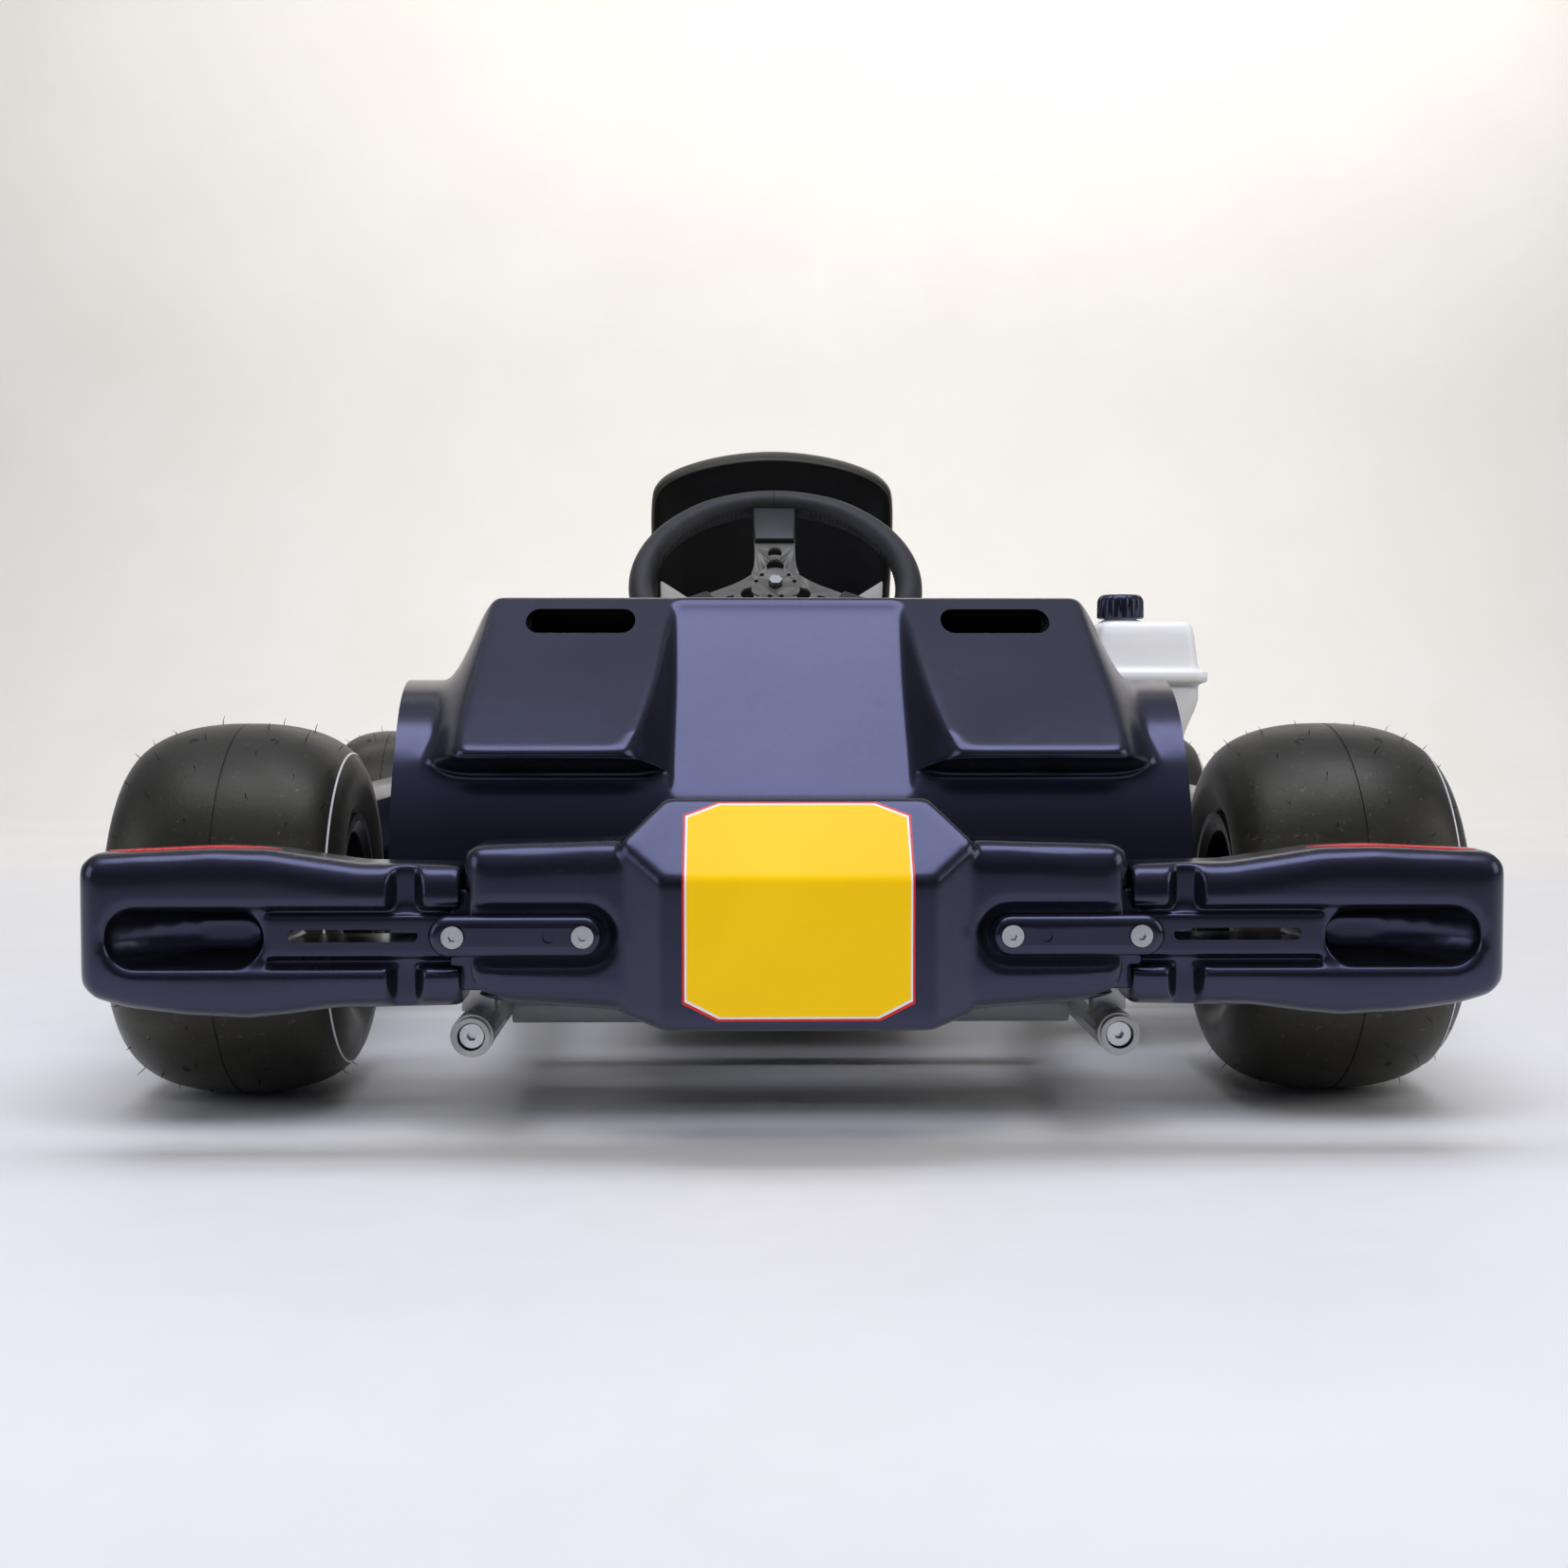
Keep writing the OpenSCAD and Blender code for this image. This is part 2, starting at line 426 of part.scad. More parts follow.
module tie_rod_left() car() color("silver") side(-1) tie_rod();
module tie_rod_right() car() color("silver") tie_rod();

// ---------------------------------------------------------------- pedals
px = 112; py = 1024; pz = 112;
module pedal() difference() {
  union() {
    xcyl(px - 14, px + 14, py, pz, 9);
    rod([px, py, pz], [px, py - 12, 190], 6);
    rod([px, py - 12, 190], [px, py + 12, 262], 6);
    translate([px, py - 12, 190]) sphere(r = 6.4, $fn = 40);
    xcyl(px - 42, px + 42, py + 12, 262, 8);
  }
  xcyl(px - 60, px + 60, py, pz, 4.06);
}
module brake_pedal() car() color("firebrick") side(-1) pedal();
module throttle_pedal() car() color("firebrick") pedal();
module pedal_brackets() car() color("gray") both() {
  for (x = [px - 19, px + 15]) difference() {
    union() { box([x, py - 10, rail_z + 6], [x + 4, py + 40, rail_z + 16]); box([x, py - 10, rail_z + 14], [x + 4, py + 12, pz + 10]); }
    xcyl(px - 60, px + 60, py, pz, 4.02);
  }
  xcyl(px - 22, px + 22, py, pz, 4);
}
module master_cylinder() car() color("darkslategray") difference() {
  union() {
    ycyl(-px, 812, 876, 132, 15);
    translate([-px, 831, 132]) cylinder(h = 36, r = 13, $fn = 48);
    box([-px - 12, 838, rail_z + 11], [-px + 12, 862, 128]);
  }
  ycyl(-px, 850, 900, 132, 4);
}
module brake_rod() car() color("gainsboro") ycyl(-px, 862, 1013.5, 132, 3.4);

// ---------------------------------------------------------------- seat, tank, front bodywork
module disc_at(x, y, z, r, h) translate([x, y, z]) cylinder(h = h, r = r, $fn = 32);
module bucket(d) hull() {
  both() { disc_at(104, 208, 70 + d, 34 - d, 1); disc_at(100, 408, 70 + d, 30 - d, 1); }
  both() { disc_at(128, 176, 170, 42 - d, 1); disc_at(124, 414, 170, 36 - d, 1); }
  both() { disc_at(120, 148, 300, 40 - d, 1); disc_at(126, 360, 300, 36 - d, 1); }
  both() { disc_at(96, 126, 369 + d * 2, 30 - d, 1); disc_at(120, 190, 369 + d * 2, 24 - d, 1); }
}
module bucket_seat() car() color([0.09, 0.09, 0.1]) difference() {
  bucket(0);
  bucket(5);
  translate([-250, 224, 372]) rotate([-48, 0, 0]) cube([500, 600, 300]);
  translate([-250, 190, 320]) cube([500, 400, 200]);
}
module fuel_tank() car() color("white") difference() {
  union() {
    hull() for (x = [272, 344]) for (y = [168, 352]) { disc_at(x, y, 97, 12, 218); }
    hull() for (x = [276, 338]) for (y = [172, 348]) { disc_at(x, y, 314, 12, 43); disc_at(x, y, 314, 6, 49); }
    translate([292, 212, 350]) cylinder(h = 22, r = 14, $fn = 64);
  }
  translate([292, 212, 340]) cylinder(h = 60, r = 10, $fn = 64);
}
module fuel_cap() car() color([0.06, 0.06, 0.06]) difference() {
  union() {
    translate([292, 212, 366]) cylinder(h = 21, r = 19, $fn = 64);
    for (k = [0 : 23]) translate([292 + 18.6 * cos(15 * k), 212 + 18.6 * sin(15 * k), 366]) cylinder(h = 21, r = 1.8, $fn = 16);
  }
  translate([292, 212, 360]) cylinder(h = 14, r = 14.06, $fn = 64);
}
module nas(d) hull() {
  both() { disc_at(104 - d, 0, 4 + d * 3, 30, 1); disc_at(112, 40 - d, 120, 16, 1); disc_at(112 - d, 0, 120, 16, 1); }
  both() { disc_at(98, 44 - d, 270, 34 - d, 1); disc_at(104 - d, 4, 270, 28, 1); disc_at(70, 26 - d, 296 - d, 22, 1); disc_at(92 - d, 6, 296 - d, 24, 1); disc_at(30, 5, 316 - d, 20, 1); }
}
module nassau_panel() car() color([0.06, 0.06, 0.065]) translate([0, 868, 276]) rotate([26, 0, 0]) difference() {
  nas(0);
  translate([0, -8, 0]) nas(5);
  translate([-200, -90, -20]) cube([400, 80, 400]);
}
module side_pods() car() color([0.07, 0.07, 0.08]) both() difference() {
  hull() { for (y = [190, 720]) { disc_at(440, y, 62, 22, 1); disc_at(486, y + (y > 400 ? -30 : 10), 80, 20, 90); disc_at(400, y, 190, 18, 20); } }
  hull() { for (y = [196, 714]) { disc_at(440, y, 70, 18, 1); disc_at(482, y + (y > 400 ? -30 : 10), 84, 16, 82); disc_at(394, y, 180, 18, 20); } }
  box([300, 150, 40], [404, 800, 186]);
}
module nose(d) hull() for (x = [-1, 1]) {
  disc_at(x * 330, 1186, 66 + d, 28 - d, 60 - d * 2);
  disc_at(x * 240, 1195, 62 + d, 40 - d, 110 - d * 2);
  disc_at(x * 110, 1184, 64 + d, 40 - d, 170 - d * 2);
  disc_at(x * 6, 1190, 66 + d, 45 - d, 146 - d * 2);
}
module nose_fairing() car() color([0.07, 0.07, 0.08]) difference() {
  nose(0);
  nose(6);
  box([-320, 1100, 74], [320, 1186, 130]);
  box([-140, 1100, 74], [140, 1186, 222]);
}

frame_rail_left();
frame_rail_right();
cross_members();
front_hoop();
spindle_yokes();
frame_tube_plugs();
plug_bolts();
floor_tray();
bearing_hangers();
axle_bearings();
bumper_brackets();
bumper_bars();
bumper_center();
number_panel();
bumper_wing_left();
bumper_strap_left();
strap_bolts_left();
bumper_wing_right();
bumper_strap_right();
strap_bolts_right();
rear_cowl();
support_stays();
rear_axle();
rear_hubs();
rear_rims();
rear_tyres();
rear_wheel_studs();
sprocket_carrier();
rear_sprocket();
disc_carrier();
brake_disc();
brake_caliper();
brake_pad_inner();
brake_pad_outer();
kingpins();
spindle_left();
spindle_right();
front_hub_left();
front_rim_left();
front_tyre_left();
front_hub_right();
front_rim_right();
front_tyre_right();
steering_support();
steering_column();
steering_wheel();
wheel_boss();
tie_rod_left();
tie_rod_right();
brake_pedal();
throttle_pedal();
pedal_brackets();
master_cylinder();
brake_rod();
bucket_seat();
fuel_tank();
fuel_cap();
nassau_panel();
side_pods();
nose_fairing();
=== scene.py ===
import bpy, bmesh, math, json, random
from mathutils import Vector, Matrix


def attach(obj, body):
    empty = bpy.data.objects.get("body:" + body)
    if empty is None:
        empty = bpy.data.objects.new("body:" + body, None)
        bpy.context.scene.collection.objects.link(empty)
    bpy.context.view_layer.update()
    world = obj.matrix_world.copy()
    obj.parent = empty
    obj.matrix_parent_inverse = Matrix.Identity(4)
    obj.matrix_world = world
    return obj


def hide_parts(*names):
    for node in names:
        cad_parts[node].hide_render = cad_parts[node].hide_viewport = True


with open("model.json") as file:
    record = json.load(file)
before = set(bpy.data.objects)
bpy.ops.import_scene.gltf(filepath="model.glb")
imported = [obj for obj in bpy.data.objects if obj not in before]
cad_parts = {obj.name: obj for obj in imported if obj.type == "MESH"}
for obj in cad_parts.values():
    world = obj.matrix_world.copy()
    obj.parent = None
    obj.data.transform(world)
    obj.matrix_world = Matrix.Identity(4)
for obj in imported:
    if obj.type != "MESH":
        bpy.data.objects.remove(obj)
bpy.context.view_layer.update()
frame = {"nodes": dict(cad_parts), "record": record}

NODES = frame["nodes"]
OFF = -475.0          # rear axle to row origin, along Y, in mm


def P(x, y, z):
    """Rear axle millimetres to row frame metres."""
    return Vector((x / 1000.0, (y + OFF) / 1000.0, z / 1000.0))


def clamp(a, lo=0.0, hi=1.0):
    return max(lo, min(hi, a))


def lerp(a, b, t):
    return a + (b - a) * t


def smooth(t):
    t = clamp(t)
    return t * t * (3 - 2 * t)


# ------------------------------------------------------------ materials

class Mat:
    def __init__(self, name):
        self.m = bpy.data.materials.new(name)
        self.m.use_nodes = True
        self.nt = self.m.node_tree
        self.bsdf = self.nt.nodes["Principled BSDF"]
        self.tc = self.nt.nodes.new("ShaderNodeTexCoord")
        self.h = None

    def node(self, kind, **kw):
        n = self.nt.nodes.new(kind)
        for k, v in kw.items():
            setattr(n, k, v)
        return n

    def link(self, a, b):
        self.nt.links.new(a, b)

    def coords(self, scale=(1, 1, 1), rot=(0, 0, 0)):
        mp = self.node("ShaderNodeMapping")
        mp.inputs["Scale"].default_value = scale
        mp.inputs["Rotation"].default_value = rot
        self.link(self.tc.outputs["Object"], mp.inputs["Vector"])
        return mp.outputs["Vector"]

    def noise(self, scale, detail=4.0, rough=0.55, stretch=(1, 1, 1), dist=0.0, rot=(0, 0, 0)):
        n = self.node("ShaderNodeTexNoise")
        n.inputs["Scale"].default_value = scale
        n.inputs["Detail"].default_value = detail
        n.inputs["Roughness"].default_value = rough
        n.inputs["Distortion"].default_value = dist
        self.link(self.coords(stretch, rot), n.inputs["Vector"])
        return n.outputs["Fac"]

    def voronoi(self, scale, stretch=(1, 1, 1), feature="F1"):
        n = self.node("ShaderNodeTexVoronoi", feature=feature)
        n.inputs["Scale"].default_value = scale
        self.link(self.coords(stretch), n.inputs["Vector"])
        return n.outputs["Distance"]

    def ramp(self, fac, stops):
        r = self.node("ShaderNodeValToRGB")
        el = r.color_ramp.elements
        el[0].position, el[0].color = stops[0][0], tuple(stops[0][1]) + (1,)
        el[1].position, el[1].color = stops[1][0], tuple(stops[1][1]) + (1,)
        for p, c in stops[2:]:
            e = el.new(p)
            e.color = tuple(c) + (1,)
        self.link(fac, r.inputs["Fac"])
        return r.outputs["Color"]

    def span(self, fac, lo, hi, a=0.3, b=0.7):
        r = self.node("ShaderNodeMapRange")
        r.inputs["From Min"].default_value = a
        r.inputs["From Max"].default_value = b
        r.inputs["To Min"].default_value = lo
        r.inputs["To Max"].default_value = hi
        self.link(fac, r.inputs["Value"])
        return r.outputs["Result"]

    def math(self, op, a, b):
        n = self.node("ShaderNodeMath", operation=op)
        for i, v in enumerate((a, b)):
            if isinstance(v, (int, float)):
                n.inputs[i].default_value = v
            else:
                self.link(v, n.inputs[i])
        return n.outputs[0]

    def mix(self, fac, a, b, blend="MIX"):
        n = self.node("ShaderNodeMix", data_type="RGBA", blend_type=blend)
        if isinstance(fac, (int, float)):
            n.inputs[0].default_value = fac
        else:
            self.link(fac, n.inputs[0])
        for i, v in ((6, a), (7, b)):
            if isinstance(v, tuple):
                n.inputs[i].default_value = v + (1,)
            else:
                self.link(v, n.inputs[i])
        return n.outputs[2]

    def color(self, c):
        if isinstance(c, tuple):
            self.bsdf.inputs["Base Color"].default_value = c + (1,)
        else:
            self.link(c, self.bsdf.inputs["Base Color"])

    def rough(self, r):
        if isinstance(r, (int, float)):
            self.bsdf.inputs["Roughness"].default_value = r
        else:
            self.link(r, self.bsdf.inputs["Roughness"])

    def bump(self, h, strength=0.3, dist=0.0005):
        b = self.node("ShaderNodeBump")
        b.inputs["Strength"].default_value = strength
        b.inputs["Distance"].default_value = dist
        self.link(h, b.inputs["Height"])
        if self.h is not None:
            self.link(self.h, b.inputs["Normal"])
        self.h = b.outputs["Normal"]
        self.link(self.h, self.bsdf.inputs["Normal"])

    def set(self, **kw):
        for k, v in kw.items():
            self.bsdf.inputs[k.replace("_", " ")].default_value = v


def plastic(name, c0, c1, r0, r1, grain=900, gs=0.05, coat=0.0, scuff=0.10, wave=0.0, painted_reflection_tint=None, spec=0.5):
    m = Mat(name)
    base = m.ramp(m.noise(9, 5), [(0.3, c0), (0.72, c1)])
    dust = m.span(m.noise(70, 6, 0.7, (1, 1, 0.6)), 0.0, scuff, 0.56, 0.85)
    pale = tuple(lerp(v, 0.42, 0.30) for v in c1)
    m.color(m.mix(dust, base, pale))
    m.rough(m.math("ADD", m.span(m.noise(6, 3), r0, r1), m.span(m.noise(160, 5, 0.65), -0.02, 0.03)))
    m.bump(m.noise(grain, 2, 0.5), gs, 0.0003)
    if wave:
        m.bump(m.noise(26, 2, 0.4), wave, 0.002)
    scr = m.span(m.noise(140, 2, 0.4, (0.06, 1, 1), 0.3, (0.2, 0.5, 0.9)), 0, 1, 0.66, 0.70)
    m.bump(scr, 0.008, 0.0002)
    if coat:
        m.set(Coat_Weight=coat, Coat_Roughness=0.12)
    m.set(Specular_IOR_Level=spec)
    # a specular tint paints the colour of reflected light into the material: a painted reflection colour
    if painted_reflection_tint:
        m.set(Specular_Tint=painted_reflection_tint + (1,))
    return m.m


def metal(name, c0, c1, r0, r1, brush=(1, 1, 1), metallic=1.0, bs=0.12):
    m = Mat(name)
    m.color(m.ramp(m.noise(26, 6, 0.6), [(0.3, c0), (0.7, c1)]))
    m.rough(m.span(m.noise(48, 5, 0.6), r0, r1))
    m.set(Metallic=metallic)
    m.bump(m.noise(420, 3, 0.5, brush), bs, 0.0003)
    return m.m


def tyre_mat():
    m = Mat("tyre_rubber")
    # the olive smears and the slight olive cast of the rubber are partly real dust and partly painted olive sheen, a
    # painted highlight colour
    base = m.ramp(m.noise(14, 6, 0.6), [(0.3, (0.008, 0.0077, 0.0060)), (0.7, (0.015, 0.0142, 0.0100))])
    smear_and_sheen = m.span(m.noise(7, 6, 0.65, (1, 1, 2.2), 0.6), 0.0, 0.30, 0.52, 0.72)
    c = m.mix(smear_and_sheen, base, (0.078, 0.074, 0.048))
    speck = m.span(m.noise(210, 2, 0.5), 0.0, 0.45, 0.66, 0.74)
    m.color(m.mix(speck, c, (0.10, 0.095, 0.08)))
    m.rough(m.span(m.noise(11, 4), 0.28, 0.50))
    # the olive specular tint is a painted reflection of warm light
    m.set(Sheen_Weight=0.04, Sheen_Roughness=0.5, Specular_IOR_Level=0.4, Specular_Tint=(1.0, 0.95, 0.76, 1))
    m.bump(m.noise(700, 3, 0.6), 0.22, 0.0006)
    m.bump(m.noise(60, 3, 0.5), 0.12, 0.0015)
    return m.m


MATS = {}
# moulded black with a blue specular tint, a painted blue reflection of the surroundings
MATS["black_plastic"] = plastic("moulded_black", (0.0035, 0.0035, 0.0045), (0.0060, 0.0060, 0.0075), 0.19, 0.27, 1100, 0.05, scuff=0.02, wave=0.03, painted_reflection_tint=(0.58, 0.60, 1.0), spec=1.0)
MATS["seat_shell"] = plastic("seat_black", (0.010, 0.010, 0.011), (0.018, 0.018, 0.019), 0.22, 0.34, 700, 0.12, coat=0.3, wave=0.10)
MATS["tyre"] = tyre_mat()
MATS["frame_paint"] = plastic("frame_grey", (0.16, 0.17, 0.18), (0.21, 0.22, 0.23), 0.28, 0.42, 500, 0.12, coat=0.25)
MATS["zinc_steel"] = metal("zinc", (0.48, 0.49, 0.50), (0.64, 0.65, 0.66), 0.18, 0.32)
MATS["alloy"] = metal("alloy_cast", (0.34, 0.34, 0.34), (0.48, 0.48, 0.48), 0.24, 0.42)
MATS["gold_alloy"] = metal("gold_anodised", (0.62, 0.43, 0.14), (0.74, 0.53, 0.20), 0.24, 0.38)
MATS["black_metal"] = metal("black_steel", (0.007, 0.007, 0.008), (0.013, 0.013, 0.014), 0.28, 0.42, metallic=0.0)
MATS["grip"] = plastic("grip_black", (0.010, 0.010, 0.011), (0.020, 0.020, 0.021), 0.42, 0.60, 420, 0.35)
MATS["pad_lining"] = plastic("lining", (0.06, 0.055, 0.05), (0.12, 0.10, 0.08), 0.7, 0.85, 260, 0.5)
MATS["pedal_red"] = metal("pedal_anodised", (0.42, 0.020, 0.018), (0.55, 0.03, 0.025), 0.26, 0.40, metallic=0.75)
MATS["number_yellow"] = plastic("panel_yellow", (0.96, 0.58, 0.002), (0.98, 0.63, 0.004), 0.30, 0.40, 900, 0.05, scuff=0.02, spec=0.2)


def tank_mat():
    m = Mat("tank_milky")
    m.color(m.ramp(m.noise(12, 4), [(0.3, (0.90, 0.89, 0.86)), (0.7, (0.95, 0.94, 0.92))]))
    m.rough(m.span(m.noise(40, 4), 0.30, 0.44))
    m.set(Subsurface_Weight=0.35, Subsurface_Radius=(0.03, 0.028, 0.022), Subsurface_Scale=0.5)
    m.bump(m.noise(500, 3), 0.10, 0.0004)
    m.bump(m.noise(35, 2), 0.10, 0.002)
    return m.m


MATS["tank_white"] = tank_mat()
RED = plastic("trim_red", (0.55, 0.012, 0.012), (0.64, 0.018, 0.016), 0.24, 0.34, 900, 0.05, scuff=0.03)
WHITE = plastic("trim_white", (0.78, 0.78, 0.76), (0.86, 0.86, 0.84), 0.25, 0.36, 900, 0.05, scuff=0.03)
# nassau black: the khaki cast of its black and its olive specular tint are painted warm light
SATIN = plastic("satin_black", (0.008, 0.008, 0.007), (0.014, 0.0137, 0.011), 0.36, 0.48, 900, 0.06, scuff=0.03, painted_reflection_tint=(1.0, 0.97, 0.80), spec=0.5)
SPOKE = metal("spoke_satin", (0.085, 0.083, 0.070), (0.125, 0.122, 0.102), 0.32, 0.44, metallic=0.45)
RIM = metal("rim_dark", (0.022, 0.022, 0.023), (0.042, 0.042, 0.044), 0.30, 0.44, metallic=0.8)
# matte near-black: the real black of the grip cover joint, and painted shade in the cowl vent ducts, the tyre wear pits
# and inside the nassau
BLACK_AND_SHADE = plastic("black_and_painted_shade", (0.004, 0.004, 0.004), (0.006, 0.006, 0.006), 0.6, 0.8)

slot_of = {}
for n in frame["record"].get("nodes", []) if isinstance(frame["record"].get("nodes"), list) else []:
    slot_of[n.get("name")] = n.get("material_slot") or n.get("slot")


def dress():
    """Every carried-over CAD node takes the finish of its slot."""
    for name, ob in NODES.items():
        if ob is None or ob.type != "MESH":
            continue
        for s in ob.material_slots:
            key = (s.material.name if s.material else "").split(".")[0]
            mat = MATS.get(key) or MATS.get(slot_of.get(name) or "")
            if name.endswith("_rims") or "_rim_" in name:
                mat = RIM
            if mat:
                s.material = mat


# ------------------------------------------------------------ mesh helpers

def make(name, bm, mat, body, node=None, flat=False, keep=False):
    me = bpy.data.meshes.new(name)
    bm.to_mesh(me)
    bm.free()
    ob = bpy.data.objects.new(name, me)
    bpy.context.scene.collection.objects.link(ob)
    if mat is not None:
        me.materials.append(mat)
    for p in me.polygons:
        p.use_smooth = not flat
    if not keep:
        finish(ob, body, node)
    return ob


def finish(ob, body, node=None):
    if node:
        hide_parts(*([node] if isinstance(node, str) else node))
    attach(ob, body)


def bake(ob):
    """Modifiers into the mesh."""
    dg = bpy.context.evaluated_depsgraph_get()
    me = bpy.data.meshes.new_from_object(ob.evaluated_get(dg))
    old = ob.data
    ob.modifiers.clear()
    ob.data = me
    bpy.data.meshes.remove(old)


def mod(ob, kind, **kw):
    m = ob.modifiers.new(kind.lower(), kind)
    for k, v in kw.items():
        setattr(m, k, v)
    return m


def drop(*obs):
    for o in obs:
        me = o.data
        bpy.data.objects.remove(o)
        if me.users == 0:
            bpy.data.meshes.remove(me)


def cut(ob, tools, op="DIFFERENCE", solver="EXACT"):
    for t in tools:
        m = mod(ob, "BOOLEAN", operation=op, object=t)
        m.solver = solver
    bake(ob)
    drop(*tools)


def melt(ob, voxel=0.002, rounds=10, factor=0.5, shade=True):
    """Voxel remesh and smooth: moulded fillets."""
    m = mod(ob, "REMESH", mode="VOXEL", voxel_size=voxel)
    m.use_smooth_shade = True
    bake(ob)
    if rounds:
        mod(ob, "SMOOTH", factor=factor, iterations=rounds)
        bake(ob)
    for p in ob.data.polygons:
        p.use_smooth = True


def sharp(ob, deg=40):
    """Smooth shading that keeps crisp edges above the angle."""
    me = ob.data
    bm = bmesh.new()
    bm.from_mesh(me)
    for e in bm.edges:
        e.smooth = not (len(e.link_faces) == 2 and e.calc_face_angle(0) > math.radians(deg))
    for f in bm.faces:
        f.smooth = True
    bm.to_mesh(me)
    bm.free()


def solid(points, mat=None, name="tool"):
    """Convex hull of points (mm, rear axle frame)."""
    bm = bmesh.new()
    for p in points:
        bm.verts.new(P(*p))
    bmesh.ops.convex_hull(bm, input=bm.verts)
    loose = [v for v in bm.verts if not v.link_faces]
    if loose:
        bmesh.ops.delete(bm, geom=loose, context="VERTS")
    bmesh.ops.recalc_face_normals(bm, faces=bm.faces)
    return make(name, bm, mat, None, keep=True)


def prism(pts, a0, a1, axis="y", mat=None, name="tool"):
    """Polygon extruded along an axis. pts are (x,z) for y, (y,z) for x, (x,y) for z, in mm."""
    def at(p, a):
        if axis == "y":
            return P(p[0], a, p[1])
        if axis == "x":
            return P(a, p[0], p[1])
        return P(p[0], p[1], a)
    bm = bmesh.new()
    lo = [bm.verts.new(at(p, a0)) for p in pts]
    hi = [bm.verts.new(at(p, a1)) for p in pts]
    bm.faces.new(lo)
    bm.faces.new(hi[::-1])
    n = len(pts)
    for i in range(n):
        j = (i + 1) % n
        bm.faces.new((lo[j], lo[i], hi[i], hi[j]))
    bmesh.ops.recalc_face_normals(bm, faces=bm.faces)
    return make(name, bm, mat, None, keep=True)


def pill(x0, x1, z, r, n=14):
    """Stadium outline in (x, z), centres x0 and x1."""
    out = []
    for i in range(n + 1):
        a = math.pi / 2 + math.pi * i / n
        out.append((x0 + r * math.cos(a), z + r * math.sin(a)))
    for i in range(n + 1):
        a = -math.pi / 2 + math.pi * i / n
        out.append((x1 + r * math.cos(a), z + r * math.sin(a)))
    return out


def circle(cx, cy, r, n=32):
    return [(cx + r * math.cos(2 * math.pi * i / n), cy + r * math.sin(2 * math.pi * i / n)) for i in range(n)]


def join(obs, name):
    """Several meshes into one object, closed shells kept."""
    bm = bmesh.new()
    for o in obs:
        bm.from_mesh(o.data)
    ob = make(name, bm, None, None, keep=True)
    drop(*obs)
    return ob


def lathe(bm, prof, centre, n=128, axis="x", closed=True, mat=0):
    """prof: (u, r) mm; turned round the axis through centre (mm)."""
    rings = []
    for u, r in prof:
        ring = []
        for i in range(n):
            a = 2 * math.pi * i / n
            c, s = r * math.cos(a), r * math.sin(a)
            ring.append(bm.verts.new(P(centre[0] + u, centre[1] + c, centre[2] + s)))
        rings.append(ring)
    m = len(rings)
    for k in range(m if closed else m - 1):
        A, B = rings[k], rings[(k + 1) % m]
        for i in range(n):
            j = (i + 1) % n
            f = bm.faces.new((A[i], A[j], B[j], B[i]))
            f.material_index = mat
    return rings


# ------------------------------------------------------------ rear cowl

def rho_mid(t):
    c, s = math.cos(math.radians(t)), math.sin(math.radians(t))
    if t < 22.9:
        return 150.0
    if t > 91:
        return 206.0 / s
    return 138.6 / (0.707 * c + 0.707 * s)


LIP = (-153.5, 258.5)
T0, T1 = 31.3, 34.3


def polar(r, t):
    return (20 - r * math.cos(math.radians(t)), 171 + r * math.sin(math.radians(t)))


def bulge(t):
    """Side profile of the raised faces: skirt, ledge, lip, slope, flat top."""
    if t <= T0:
        return polar(150.0, t)
    base = polar(150.0, T0)
    if t < T1:
        f = (t - T0) / (T1 - T0)
        return (lerp(base[0], LIP[0], f), lerp(base[1], LIP[1], f))
    top = (30.5, 377.0)
    if t < 92.8:
        f = (t - T1) / (92.8 - T1)
        return (lerp(LIP[0], top[0], f), lerp(LIP[1], top[1], f))
    return polar(206.0 / math.sin(math.radians(t)), t)


def cowl_point(x, t):
    a = abs(x)
    b = bulge(t)
    if a < 130:
        # drafted wall between the middle column and the raised face
        m = polar(rho_mid(t), t)
        d = math.hypot(b[0] - m[0], b[1] - m[1])
        f = 1.0 if d < 1e-6 else clamp((a - 85.5) * 1.9 / d)
        y, z = lerp(m[0], b[0], f), lerp(m[1], b[1], f)
    else:
        start = lerp(233.0, 222.0, clamp((t - T1) / 61.8))
        c, f = polar(150.0 - 8.0 * smooth((t - 32.0) / 52.0), t), smooth((a - start) / (268.0 - start))
        y, z = lerp(b[0], c[0], f), lerp(b[1], c[1], f)
    k = 1 - (0.0333 + 0.020 * clamp((85.0 - t) / 45.0)) * clamp((a - 226.0) / 74.0)
    return P(x * k, y, z)


